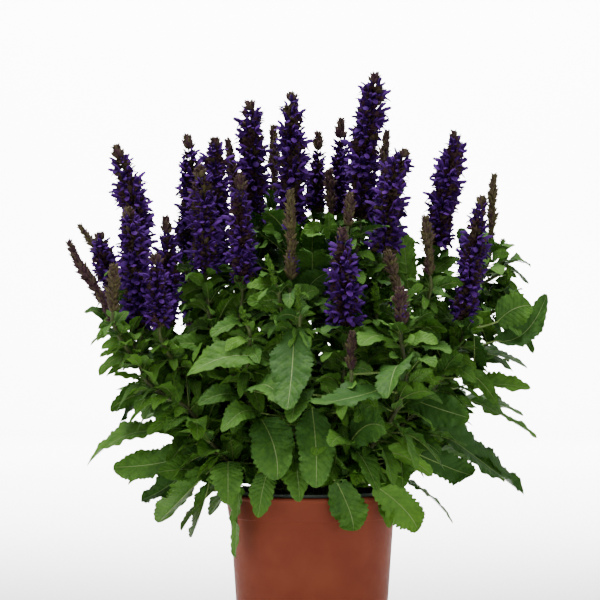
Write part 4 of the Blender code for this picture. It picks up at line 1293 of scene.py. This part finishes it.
FLORETS = Whorl(16, (-4, 56), 2.0, 11.9, (0.62, 1.12))
LOW_BRACTS = Whorl(2, (-20, 25), 0.5, 17.0)
FIRST_OPEN = Whorl(1, (5, 50), 1.0, 11.0, (0.8, 1.1))
BUDS = Whorl(9, (26, 60), 0.8, 6.4, (0.75, 1.2))
TOP_BRACTS = Whorl(3, (28, 70), 0.6, 6.6, (0.85, 1.2))

# material slots of a spike and of a leafy stem
AXIS_SLOT, CALYX_SLOT, PETAL_SLOT = range(3)
BLADE_SLOT, STALK_SLOT = range(2)


@dataclass
class Spike3:
    """A spike in its place: whorls of florets, buds and bracts round its axis."""

    line: Array
    width: float
    bud_share: float
    bloom: Bloom
    rng: np.random.Generator
    hue: float = 0.3
    hue_spread: float = 0.25
    first_florets: int = 0
    usual_width: float = 34.0
    slender: float = 18.0
    open_pitch: float = 5.8
    spread: float = 0.35
    bud_pitch: float = 3.3
    spent: float = 0.4
    calyx_size: float = 1.12
    petal_tone: tuple[float, float] = (0.32, 0.28)
    bract_tones: tuple[float, float] = (0.1, 0.6)
    bract_drop: float = 1.5
    first_shares: tuple[float, float] = (0.04, 0.55)
    first_tones: tuple[float, float] = (0.1, 0.7)
    axis_taper: tuple[float, float] = (1.5, 0.6)
    axis_tone: float = 0.15
    young_axis_tone: float = 0.9
    young_tone: float = 0.85
    tip_share: float = 0.42
    waist: float = 0.8
    roll: float = 0.5
    turn_per_whorl: float = 0.7
    turn_jitter: float = 0.16
    rows: int = 80

    def radius(self, share: Array) -> Array:
        """Half the spike's width: a long bulge, then a cone of buds.

        Args:
            share: shares of the spike's length, 0 at its foot.

        Returns:
            The half widths in millimetres.
        """
        open_share = max(1.0 - self.bud_share, 1e-6)
        bulge = np.sin(math.pi * (BULGE_START + BULGE_SPAN * share / open_share))
        swell = 0.5 * self.width * (1.0 - BULGE_DEPTH + BULGE_DEPTH * bulge)
        cone = np.minimum(1.0, CONE_STEEPNESS * (1.0 - share) / self.bud_share)
        widest = 0.5 * self.width if self.bloom is not Bloom.OPEN else TIP_CONE_RADIUS
        buds = widest * (TIP_BLUNTNESS + (1.0 - TIP_BLUNTNESS) * cone)
        last_open = 1.0 - self.bud_share * self.tip_share
        drawn_in = np.where(share < last_open, self.waist * swell, buds)
        return np.where(share < 1.0 - self.bud_share, swell, drawn_in)

    def rounds(self, shares: Array, whorl: Whorl) -> tuple[Array, Array, Array]:
        """Places round the axis at each whorl.

        Args:
            shares: the whorls' shares of the spike's length.
            whorl: how the organs stand.

        Returns:
            Origin, frame and size of each organ.
        """
        fine = smooth_path(self.line, self.rows)
        side, other, along = path_frames(fine)
        number = np.repeat(np.arange(len(shares)), whorl.count)
        last = self.rows - 1
        row = np.clip(np.round(shares[number] * last).astype(int), 0, last)
        total = len(number)
        turn = np.tile(np.arange(whorl.count), len(shares)) + 0.5 * (number % 2)
        turn = turn + self.rng.uniform(-self.turn_jitter, self.turn_jitter, total)
        angle = (2 * math.pi * turn / whorl.count + self.turn_per_whorl * number)[:, None]
        out = turned(side[row], other[row], angle)
        lift = np.radians(self.rng.uniform(*whorl.rise, total))[:, None]
        ahead = turned(out, along[row], lift)
        level = turned(along[row], -out, lift)
        roll = self.rng.uniform(-self.roll, self.roll, total)[:, None]
        up = turned(level, np.cross(level, ahead), roll)
        frames = np.stack([ahead, np.cross(up, ahead), up], axis=1)
        stray = self.rng.uniform(-whorl.stray, whorl.stray, total)[:, None]
        sizes = self.radius(shares[number]) / whorl.life_size
        if whorl.sizes:
            sizes = sizes * self.rng.uniform(*whorl.sizes, total)
        return fine[row] + along[row] * stray, frames, sizes

    def tones(self, middle: float, spread: float, count: int) -> Array:
        """Tones drawn round a middle value."""
        return np.clip(self.rng.normal(middle, spread, count), 0, 1)

    def add_to(self, patches: Patchwork) -> None:
        """Add the whole spike.

        Args:
            patches: what it is added to.
        """
        length = float(travelled(smooth_path(self.line, 30))[-1])
        axis = smooth_path(self.line, 14)
        taper = np.linspace(*self.axis_taper, len(axis)) * (self.width / self.usual_width)**0.4
        tone = self.young_axis_tone if self.bloom is Bloom.YOUNG else self.axis_tone
        patches.add(tube_grid(axis, taper, 6), tone, AXIS_SLOT)
        if self.bloom is Bloom.OPEN:
            self.add_flowers(patches, length)
        self.add_buds(patches, length)
        if self.first_florets:
            self.add_first_florets(patches)

    def add_flowers(self, patches: Patchwork, length: float) -> None:
        """Add the whorls of open flowers: a calyx for each, and a corolla where it isn't spent.

        Args:
            patches: what they are added to.
            length: length of the spike in millimetres.
        """
        open_share = 1.0 - self.bud_share * self.tip_share
        pitch = self.open_pitch * (self.width / self.usual_width)**0.5
        whorls = max(2, round(length * open_share / pitch))
        steps = (np.arange(whorls) + 0.35) / whorls
        shares = (steps + self.spread * steps**4) / (1.0 + self.spread) * open_share
        origins, frames, sizes = self.rounds(shares, FLORETS)
        tones = self.tones(self.hue, self.hue_spread, len(sizes))
        patches.add(set_on(ORGANS[Organ.CALYX], origins, frames, sizes * self.calyx_size), tones,
                    CALYX_SLOT)
        chosen = np.flatnonzero(self.rng.random(len(sizes)) > self.spent)
        tones = self.tones(*self.petal_tone, len(chosen))
        for organ in (*COROLLA, Organ.STYLE):
            patches.add(set_on(ORGANS[organ], origins[chosen], frames[chosen], sizes[chosen]),
                        tones, PETAL_SLOT)
        origins, frames, sizes = self.rounds(shares, LOW_BRACTS)
        origins = origins - frames[:, 2] * self.bract_drop
        patches.add(set_on(ORGANS[Organ.BRACT], origins, frames, sizes),
                    self.rng.uniform(*self.bract_tones, len(sizes)), CALYX_SLOT)

    def add_first_florets(self, patches: Patchwork) -> None:
        """Add the few florets that open first, low on a spike still in bud.

        Args:
            patches: what they are added to.
        """
        shares = self.rng.uniform(*self.first_shares, self.first_florets)
        places = self.rounds(shares, FIRST_OPEN)
        tones = self.rng.uniform(*self.first_tones, len(shares))
        for organ in COROLLA:
            patches.add(set_on(ORGANS[organ], *places), tones, PETAL_SLOT)

    def add_buds(self, patches: Patchwork, length: float) -> None:
        """Add the whorls of closed buds with their bracts, closer where the spike is slimmer.

        Args:
            patches: what they are added to.
            length: length of the spike in millimetres.
        """
        span = self.bud_share * (self.tip_share if self.bloom is Bloom.OPEN else 1.0)
        fine = np.linspace(1.0 - span, 1.0, 60)
        crowding = self.radius(fine).max() / self.radius(fine)
        passed = np.r_[0, np.cumsum(0.5 * (crowding[1:] + crowding[:-1]))]
        whorls = max(4, round(length * span * crowding.mean() / self.bud_pitch))
        shares = np.interp((np.arange(whorls) + 0.2) / whorls, passed / passed[-1], fine)
        is_slim = self.width < self.slender or self.bloom is Bloom.OPEN
        widen = BUD_WIDENING if is_slim else 1.0
        is_young = self.bloom is Bloom.YOUNG
        hue, slot = (self.young_tone, BLADE_SLOT) if is_young else (self.hue, CALYX_SLOT)
        for organ, whorl, spread in ((Organ.BUD, BUDS, 0.25), (Organ.BRACT, TOP_BRACTS, 0.2)):
            origins, frames, sizes = self.rounds(shares, whorl)
            patches.add(set_on(ORGANS[organ], origins, frames, sizes * widen),
                        self.tones(hue, spread, len(sizes)), slot)


@dataclass
class Foliage:
    """The blades, stalks, stems and young tips of one stem."""

    stem: Stem3
    rng: np.random.Generator
    small: float = 16.0
    full_grown: float = 30.0
    blade_columns: int = 9
    small_columns: int = 5
    tooth_pitch: float = 5.0
    tooth_depth: float = 2.6
    rows_per_tooth: int = 5
    small_rows_per_tooth: int = 2
    fold: float = 0.28
    fold_range: tuple[float, float] = (0.6, 1.7)
    sag: float = 0.14
    wave: float = 0.15
    ruffle: float = 1.2
    ruffle_pitch: float = 13.0
    twist: float = 30.0
    vein_pairs: float = 9.0
    pucker: float = 0.65
    stalk_radius: float = 1.1
    stalk_taper: tuple[float, float] = (1.0, 0.85)
    stalk_sag: float = 0.06
    rib_taper: tuple[float, float] = (0.62, 0.14)
    rib_drop: float = 0.35
    stem_radius: float = 0.56
    node_pitch: float = 12.5
    first_node: float = 26.0
    first_branch_node: float = 14.0
    bare_top: float = 8.0
    stem_lengths: tuple[float, float] = (62.0, 28.0)
    branch_lengths: tuple[float, float] = (34.0, 22.0)
    rear: float = 30.0
    rear_growth: float = 1.3
    ratio: float = 0.5
    leaf_rise: tuple[float, float] = (10.0, 58.0)
    leaf_growth: tuple[float, float] = (0.75, 1.2)
    leaf_stalk: tuple[float, float] = (0.12, 0.3)
    leaf_droop: tuple[float, float] = (0.0, 0.7)
    leaf_arch: float = 0.12
    leaf_clearance: float = 0.4
    leaf_roll: float = 0.9
    node_sway: float = 0.25
    node_leaves: tuple = ((0.0, 1.0), (math.pi, 1.0), (0.9, 0.6), (math.pi + 0.9, 0.6),
                          (-0.8, 0.75), (math.pi - 0.8, 0.75))
    base_tone: float = 0.76
    tone_drop: float = 0.35
    tone_height: float = 260.0
    # per millimetre of width: small young leaves are paler, and wide leaves get painted shade
    painted_shade_and_youth_per_mm: float = 0.013
    tone_spread: float = 0.17
    stem_tone: float = 0.25
    branch_tone: float = 0.35
    stalk_tone: float = 0.85
    small_stalk_tone: float = 0.8

    def blade_grid(self, leaf: Leaf, columns: int, rows_per_tooth: int) -> Array:
        """The blade's surface.

        With s from 0 to 1 along the rib and t from -1 to 1 across, the half width is
        half sin(pi s^0.85)^0.5, cut by uneven round teeth. Each point stands above the rib by a
        fold, a sag and a wave, by a ruffle at the margin and by puckers between the side veins.
        The blade twists slowly. Two seeded phases keep its cuts and waves unlike other leaves'.

        Args:
            leaf: the leaf.
            columns: points across.
            rows_per_tooth: rows for each tooth of the margin.

        Returns:
            The grid, from base to tip.
        """
        teeth = max(4, round(leaf.length / self.tooth_pitch))
        rows = teeth * rows_per_tooth + 1
        rib = curve3(leaf.base, leaf.control, leaf.tip, rows)
        along = units(np.gradient(rib, axis=0))
        normal = units(np.cross(leaf.across, along))
        normal *= np.sign(np.sum(normal * leaf.normal, axis=1))[:, None]
        s = np.linspace(0, 1, rows)[:, None]
        t = np.linspace(-1, 1, columns)[None]
        flank = np.sign(t)
        half = 0.5 * leaf.width
        shape = np.sin(math.pi * s**0.85).clip(0)**0.5
        phase, second, sway = self.rng.uniform(0, 1, 3)
        fold = self.fold * self.rng.uniform(*self.fold_range)
        notch = 1.0 - np.abs(np.sin(math.pi * (teeth * s + phase + 0.3 * flank)))
        cut = notch * (0.9 + 0.3 * np.sin(2 * math.pi * (2.3 * s + phase) + 2 * flank))
        uneven = 1.0 + 0.08 * np.sin(2 * math.pi * (1.7 * s + second) + flank)
        grown = min(1.0, leaf.width / self.full_grown)
        depth = self.tooth_depth * grown**1.5
        side = shape * (half * uneven - depth * cut * np.abs(t)**3) * t
        ripple = np.sin(2 * math.pi * (1.3 * s + phase) + 1.1 * flank)
        ripple += 0.6 * np.sin(2 * math.pi * (3.1 * s + second) - 0.7 * flank)
        curl = np.sin(2 * math.pi * (leaf.length * s / self.ruffle_pitch + second) + 2 * t)
        vein = np.sin(math.pi * (self.vein_pairs * s - 2.0 * np.abs(t)))**2
        lift = fold * np.abs(side) - self.sag * half * t**2 * shape
        lift += self.wave * half * ripple * t**2 * shape
        lift += self.ruffle * grown * curl * t**4 * shape
        lift += self.pucker * vein * shape * np.abs(t)**0.5 * (1 - t**4)
        turn = math.radians(self.twist) * (sway - 0.5) * 2 * s[..., None]
        across = turned(leaf.across, normal[:, None], turn)
        face = turned(normal[:, None], -leaf.across, turn)
        return rib[:, None] + across * side[..., None] + face * lift[..., None]

    def stalk_grid(self, leaf: Leaf) -> Array:
        """The stalk and, under the blade, its raised rib, as one tapering tube.

        Args:
            leaf: the leaf.

        Returns:
            The tube, from the stem to the blade's tip.
        """
        reach = np.linalg.norm(leaf.base - leaf.root)
        sag = 0.5 * (leaf.root + leaf.base) - UP * self.stalk_sag * reach
        stalk_rows, rib_rows, sides = (3, 5, 3) if leaf.width < self.small else (5, 9, 5)
        stalk = curve3(leaf.root, sag, leaf.base, stalk_rows)
        rib = curve3(leaf.base, leaf.control, leaf.tip, rib_rows)[1:-1]
        path = np.vstack([stalk, rib - leaf.normal * self.rib_drop])
        thin = min(1.0, leaf.width / self.full_grown)
        radii = np.r_[np.linspace(*self.stalk_taper, len(stalk)),
                      np.linspace(*self.rib_taper, len(rib))]
        return tube_grid(path, radii * self.stalk_radius * thin, sides, leaf.normal)

    def pair_leaf(self, root: Array, out: Array, along: Array, length: float) -> Leaf:
        """One small leaf of a pair, raised, drooped and rolled by a seeded amount.

        Args:
            root: where it leaves the stem.
            out: direction out of the stem.
            along: direction up the stem.
            length: its length before a seeded part of it is taken.

        Returns:
            The leaf, kept clear of the pot.
        """
        rise = math.radians(self.rng.uniform(*self.leaf_rise))
        ahead = turned(out, along, rise)
        length *= self.rng.uniform(*self.leaf_growth)
        base = root + ahead * length * self.rng.uniform(*self.leaf_stalk)
        tip = base + ahead * length - UP * length * self.rng.uniform(*self.leaf_droop)
        control = base + ahead * 0.5 * length + UP * self.leaf_arch * length
        lowest = POT_HEIGHT + self.leaf_clearance * length
        for point in (base, control, tip):
            point[2] = max(point[2], lowest)
        across = unit(np.cross(tip - base, UP + 0.01 * BACK))
        normal = unit(np.cross(across, tip - base))
        if normal[2] < 0:
            across, normal = -across, -normal
        roll = self.rng.uniform(-self.leaf_roll, self.leaf_roll)
        return Leaf(root, base, control, tip, turned(across, normal, roll),
                    turned(normal, -across, roll), self.ratio * length)

    def pair_leaves(self, line: Array, low: float, high: float) -> list[Leaf]:
        """Opposite pairs of small leaves up a stem, each pair square to the last.

        Args:
            line: the stem's line.
            low: blade length at its foot.
            high: blade length at its top.

        Returns:
            The leaves.
        """
        lengths = travelled(line)
        side, other, along = path_frames(line)
        start = self.first_branch_node if len(line) < STEM_ROWS else self.first_node
        leaves = []
        turn = self.rng.uniform(0, math.pi)
        for place in np.arange(start, lengths[-1] - self.bare_top, self.node_pitch):
            row = int(np.searchsorted(lengths, place))
            full = low + (high - low) * place / lengths[-1]
            turn += 0.5 * math.pi + self.rng.uniform(-self.node_sway, self.node_sway)
            for way, part in self.node_leaves:
                out = turned(side[row], other[row], turn + way)
                leaves.append(self.pair_leaf(line[row], out, along[row], part * full))
        return leaves

    def tone(self, leaf: Leaf) -> float:
        """How bright a leaf is: low leaves are yellower than high ones and small ones paler, as
        young leaves are, while wide leaves are darker, as painted shade on the big leaves.

        Args:
            leaf: the leaf.

        Returns:
            Its tone, with a seeded difference from its neighbours'.
        """
        drop = self.tone_drop * (leaf.base[2] - POT_HEIGHT) / self.tone_height
        # wide leaves are painted darker, as shade on the big leaves, and small young ones paler
        middle = self.base_tone - drop - self.painted_shade_and_youth_per_mm * leaf.width
        return float(np.clip(middle + self.rng.normal(0, self.tone_spread), 0, 1))

    def add_to(self, patches: Patchwork) -> None:
        """Add the stem with its branches, leaves and young tips.

        Args:
            patches: what they are added to.
        """
        for number, (path, (low, top)) in enumerate(zip(self.stem.paths, self.stem.widths)):
            rows, tone = (18, self.branch_tone) if number else (40, self.stem_tone)
            fine = smooth_path(path, rows)
            radii = np.linspace(low, top, rows) * self.stem_radius
            patches.add(tube_grid(fine, radii, 12, squareness=0.1), tone, STALK_SLOT)
        for leaf in self.stem.leaves:
            tone = self.tone(leaf)
            columns = self.blade_columns if leaf.width > self.small else self.small_columns
            patches.add(self.blade_grid(leaf, columns, self.rows_per_tooth), tone, BLADE_SLOT)
            patches.add(self.stalk_grid(leaf), self.stalk_tone, STALK_SLOT)
        for number, line in enumerate(self.stem.lines):
            low, high = self.branch_lengths if number else self.stem_lengths
            grown = self.rear_growth if line[:, 1].mean() > self.rear else 1.0
            for leaf in self.pair_leaves(line, low * grown, high * grown):
                blade = self.blade_grid(leaf, self.small_columns, self.small_rows_per_tooth)
                patches.add(blade, self.tone(leaf), BLADE_SLOT)
                patches.add(self.stalk_grid(leaf), self.small_stalk_tone, STALK_SLOT)
        for line, width in self.stem.young:
            Spike3(line, width, 1.0, Bloom.YOUNG, self.rng).add_to(patches)


@dataclass
class Plant:
    """The stems and spikes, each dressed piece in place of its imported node."""

    growth: Growth
    leaf: Material
    stem: Material
    calyx: Material
    petal: Material
    stem_seed: int = 100
    spike_seed: int = 500
    hues: tuple[float, float] = (0.1, 0.5)

    def build(self) -> None:
        """Make every leafy stem and every spike."""
        for number, (name, stem) in enumerate(self.growth.stems.items()):
            patches = Patchwork()
            Foliage(stem, np.random.default_rng(self.stem_seed + number)).add_to(patches)
            piece = patches.make(f"dressed_{name}", [self.leaf, self.stem])
            attach(piece, name, "foliage")
        for number, (name, line) in enumerate(self.growth.axes.items()):
            spike = SPIKES[name]
            bloom = Bloom.BUDS if spike.bud_share == 1.0 else Bloom.OPEN
            patches = Patchwork()
            rng = np.random.default_rng(self.spike_seed + number)
            hue = GREENISH.get(name, rng.uniform(*self.hues))
            Spike3(line, spike.width, spike.bud_share, bloom, rng, hue=hue,
                   first_florets=FIRST_FLORETS.get(name, 0)).add_to(patches)
            piece = patches.make(f"dressed_{name}", [self.stem, self.calyx, self.petal])
            attach(piece, name, "corollas" if bloom is Bloom.OPEN else "bud_bracts")


def attach(piece: bpy.types.Object, node: str, slot: str) -> None:
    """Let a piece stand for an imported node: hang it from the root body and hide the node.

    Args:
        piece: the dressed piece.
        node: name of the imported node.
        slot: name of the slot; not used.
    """
    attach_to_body(piece, "root")
    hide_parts(node)
    log.info("%s: %d faces, replaces %s", piece.name, len(piece.data.polygons), node)


@dataclass
class PotSet:
    """The outer pot, the nursery pot inside it and the compost."""

    sides: int = 144
    rim_radius: float = 85.0
    foot_radius: float = 73.0
    wall: float = 1.8
    floor: float = 3.0
    band_depth: float = 23.0
    band_step: float = 1.6
    band_chamfer: float = 2.4
    band_fillet: float = 0.9
    band_round: float = 0.8
    bead_height: float = 5.0
    bead_radius: float = 2.3
    bead_swell: float = 1.4
    foot_bevel: float = 1.5
    inner_gap: float = 0.9
    inner_wall: float = 1.4
    inner_proud: float = 3.0
    drain_radius: float = 4.0
    drain_circle: float = 44.0
    drains: int = 4
    crumb_count: int = 420
    crumb_sizes: tuple[float, float] = (0.6, 2.0)
    ripple_mm: tuple[float, ...] = (24.0, 11.0, 6.0, 3.5)
    ripple_share: float = 0.05
    compost_gap: float = 0.4
    compost_low: float = 5.0
    seed: int = 7

    def wall_radius(self, height: float) -> float:
        """Outer radius of the outer pot's tapered wall at a height."""
        share = height / POT_HEIGHT
        return self.foot_radius + (self.rim_radius - self.band_step - self.foot_radius) * share

    def inner_radius(self, height: float) -> float:
        """Outer radius of the nursery pot at a height."""
        return self.wall_radius(height) - self.wall - self.inner_gap

    def outer_profile(self) -> Array:
        """The outer pot from the middle of its underside, up, over its bead and down inside.

        Returns:
            The profile's points (r, z).
        """
        band = POT_HEIGHT - self.band_depth
        below = band - self.band_chamfer
        rim = self.rim_radius
        top = POT_HEIGHT
        bead = rim + self.bead_swell - self.bead_radius
        return np.vstack([
            [(0, 0), (self.foot_radius - 6, 0)],
            arc((self.foot_radius - self.foot_bevel, self.foot_bevel), self.foot_bevel, -90, -5),
            [(self.wall_radius(z), z) for z in np.linspace(12, below, 9)],
            arc((self.wall_radius(below) + self.band_fillet, band - 1.6), self.band_fillet,
                180, 120, 3),
            arc((self.wall_radius(band) + self.band_step - self.band_round, band),
                self.band_round, -60, 5, 4),
            [(rim - 0.2, band + 9), (rim, top - self.bead_height - 0.6)],
            arc((bead, top - 0.5 * self.bead_height), self.bead_radius, -50, 90, 9),
            [(rim - 2.0, top), (self.wall_radius(top) - self.wall, top - 0.6)],
            [(self.wall_radius(z) - self.wall, z) for z in np.linspace(top - 6, self.floor + 1, 6)],
            [(self.wall_radius(self.floor) - self.wall - 1, self.floor), (0, self.floor)],
        ])

    def inner_profile(self) -> Array:
        """The nursery pot, whose rolled rim stands a little proud of the outer pot's.

        Returns:
            The profile's points (r, z).
        """
        foot = self.floor + SEAT_GAP
        floor = foot + self.inner_wall
        top = POT_HEIGHT + self.inner_proud
        return np.vstack([
            [(0, foot), (self.inner_radius(foot), foot)],
            [(self.inner_radius(z), z) for z in np.linspace(foot + 8, top - 4, 6)],
            arc((self.inner_radius(top) - 0.5 * self.inner_wall, top - 0.7),
                0.5 * self.inner_wall, 0, 180, 7),
            [(self.inner_radius(z) - self.inner_wall, z) for z in np.linspace(top - 4, floor, 6)],
            [(0, floor)],
        ])

    def drill(self, pot: bpy.types.Object) -> None:
        """Cut the round drain holes through a pot's floor.

        Args:
            pot: the pot.
        """
        patches = Patchwork()
        for number in range(self.drains):
            angle = 2 * math.pi * (number + 0.5) / self.drains
            centre = self.drain_circle * turned(ACROSS, BACK, angle)
            under, over = -2.0, self.floor + 4.0
            profile = np.array([(0, under), (self.drain_radius, under),
                                (self.drain_radius, over), (0, over)])
            patches.add(lathe_grid(profile, 24) + centre)
        cutter = patches.make("drain_cutter", [])
        change = pot.modifiers.new("drains", "BOOLEAN")
        change.operation = "DIFFERENCE"
        change.object = cutter
        graph = bpy.context.evaluated_depsgraph_get()
        mesh = bpy.data.meshes.new_from_object(pot.evaluated_get(graph))
        pot.modifiers.clear()
        pot.data = mesh
        bpy.data.objects.remove(cutter)

    def compost_grid(self, rng: np.random.Generator) -> Array:
        """The compost's top: a disc whose height is a sum of seeded ripples, over a skirt.

        Args:
            rng: source of the ripples.

        Returns:
            The grid from the middle out, down its side and in again under it.
        """
        trim = self.inner_wall + self.compost_gap
        edge = self.inner_radius(SOIL_TOP) - trim
        low = self.inner_radius(self.compost_low) - trim
        rings = 60
        foot = self.compost_low + SEAT_GAP
        radius = np.r_[np.linspace(0, edge, rings), low, 0.0]
        height = np.r_[np.full(rings, SOIL_TOP), foot, foot]
        grid = lathe_grid(np.stack([radius, height], 1), 160)
        ripple = np.zeros(grid.shape[:2])
        for size in np.repeat(self.ripple_mm, 5):
            way = rng.uniform(0, 2 * math.pi)
            run = grid @ turned(ACROSS, BACK, way)
            phase = rng.uniform(0, 2 * math.pi)
            ripple += self.ripple_share * size**0.8 * np.sin(2 * math.pi * run / size + phase)
        rippled = rings - 2
        grid[:rippled, :, 2] += ripple[:rippled] - self.compost_gap
        return grid

    def crumbs(self, rng: np.random.Generator) -> Array:
        """Loose crumbs of compost: flattened lumps of five sides strewn over the top.

        Args:
            rng: source of their places.

        Returns:
            The lumps' grids.
        """
        count = self.crumb_count
        u = np.linspace(0, math.pi, 4)[:, None]
        a = np.linspace(0, 2 * math.pi, 6)[None]
        lump = surface(np.sin(u) * np.cos(a), np.sin(u) * np.sin(a), 0.7 * np.cos(u))
        way = rng.uniform(0, 2 * math.pi, count)[:, None]
        out = (self.inner_radius(SOIL_TOP) - 5) * np.sqrt(rng.random(count))[:, None]
        origins = out * turned(ACROSS, BACK, way) + UP * (SOIL_TOP + 0.2)
        turn = rng.uniform(0, 2 * math.pi, count)[:, None]
        frames = np.stack([turned(ACROSS, BACK, turn), turned(BACK, -ACROSS, turn),
                           np.broadcast_to(UP, (count, 3))], axis=1)
        return set_on(lump, origins, frames, rng.uniform(*self.crumb_sizes, count))

    def build(self, pot: Material, nursery: Material, compost: Material) -> None:
        """Make the two pots and the compost.

        Args:
            pot: finish of the outer pot.
            nursery: finish of the nursery pot.
            compost: finish of the compost.
        """
        for node, profile, material, slot in (
                ("outer_pot", self.outer_profile(), pot, "pot_plastic"),
                ("inner_pot", self.inner_profile(), nursery, "nursery_pot_plastic")):
            patches = Patchwork()
            patches.add(lathe_grid(profile, self.sides))
            piece = patches.make(f"dressed_{node}", [material])
            self.drill(piece)
            attach(piece, node, slot)
        rng = np.random.default_rng(self.seed)
        patches = Patchwork()
        patches.add(self.compost_grid(rng)[::-1])
        patches.add(self.crumbs(rng))
        attach(patches.make("dressed_soil", [compost]), "soil", "compost")


class Lamp(NamedTuple):
    """A soft light: its place, what it points at and its side in metres, its power in watts."""

    place: tuple[float, float, float]
    aim: tuple[float, float, float]
    size: float
    power: float


# one lamp over the plant, two weak ones in front, and two pairs that whiten the paper behind it
LAMPS = {
    "overhead": Lamp((-0.3, 0.0, 2.4), (0.0, 0.0, 0.3), 1.4, 84.0),
    "front_left": Lamp((-1.7, -1.9, 1.5), (0.0, 0.0, 0.3), 1.4, 5.0),
    "front_right": Lamp((1.9, -1.5, 1.2), (0.0, 0.0, 0.3), 1.4, 5.0),
    "floor_left": Lamp((-1.3, 1.3, 1.8), (0.0, 2.9, 1.4), 1.0, 345.0),
    "wall_left": Lamp((-1.3, 3.2, 1.8), (0.0, 5.0, 0.9), 1.0, 290.0),
    "floor_right": Lamp((1.3, 1.3, 1.8), (0.0, 2.9, 1.4), 1.0, 345.0),
    "wall_right": Lamp((1.3, 3.2, 1.8), (0.0, 5.0, 0.9), 1.0, 290.0),
}


@dataclass
class Studio:
    """The sweep of pale paper, the soft lights and the camera."""

    sweep_width: float = 2400.0
    sweep_front: float = -3200.0
    sweep_back: float = 4200.0
    sweep_radius: float = 800.0
    sweep_height: float = 1600.0
    floor_gap: float = 0.2
    lens: float = 162.0
    sensor: float = 36.0
    air: float = 0.8

    def sweep_grid(self) -> Array:
        """The paper: flat, then a quarter turn, then upright, the same all the way across.

        Returns:
            The grid, from the front to the top of the back.
        """
        turn = np.radians(np.linspace(0, 90, 16))
        back = np.r_[self.sweep_front, self.sweep_back + self.sweep_radius * np.sin(turn),
                     self.sweep_back + self.sweep_radius]
        height = np.r_[0.0, self.sweep_radius * (1 - np.cos(turn)), self.sweep_height]
        across = np.linspace(-0.5, 0.5, 5) * self.sweep_width
        return surface(across, back[:, None], height[:, None] - self.floor_gap)

    @staticmethod
    def light(name: str, lamp: Lamp) -> None:
        """Add a square soft light.

        Args:
            name: its name.
            lamp: its place, aim, size and power.
        """
        data = bpy.data.lights.new(name, "AREA")
        data.size = lamp.size
        data.energy = lamp.power
        made = bpy.data.objects.new(name, data)
        made.location = lamp.place
        away = made.location - type(made.location)(lamp.aim)
        made.rotation_euler = away.to_track_quat("Z", "Y").to_euler()
        bpy.context.scene.collection.objects.link(made)

    def build(self, paper: Material) -> None:
        """Set up the stage.

        Args:
            paper: finish of the sweep.
        """
        patches = Patchwork()
        patches.add(self.sweep_grid())
        patches.make("paper_sweep", [paper])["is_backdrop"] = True
        for name, lamp in LAMPS.items():
            self.light(name, lamp)
        world = bpy.context.scene.world or bpy.data.worlds.new("studio")
        bpy.context.scene.world = world
        world.use_nodes = True
        air = world.node_tree.nodes["Background"]
        air.inputs["Color"].default_value = (1.0, 1.0, 1.0, 1.0)
        air.inputs["Strength"].default_value = self.air
        data = bpy.data.cameras.new("camera")
        data.lens = self.lens
        data.sensor_width = self.sensor
        camera = bpy.data.objects.new("camera", data)
        camera.location = EYE * MM
        camera.rotation_euler = (math.radians(90.0), 0.0, 0.0)
        bpy.context.scene.collection.objects.link(camera)
        bpy.context.scene.camera = camera


def corners() -> list[list[float]]:
    """The shown object's lowest and highest corners as plain numbers."""
    return [[float(value) for value in corner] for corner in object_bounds()]


def main() -> None:
    """Build the looks piece by piece."""
    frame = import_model()
    growth = Growth(PackedPoints(frame["nodes"], [*SPIKES, *STEMS]))
    log.info("%d leaves found in the packed stems", growth.found)
    PotSet().build(POT.make(), NURSERY.make(), COMPOST.make())
    Plant(growth, LEAF.make(), STEM.make(), CALYX.make(), PETAL.make()).build()
    Studio().build(PAPER.make())


if __name__ == "__main__":
    logging.basicConfig(level=logging.INFO, format="%(name)s: %(message)s")
    main()
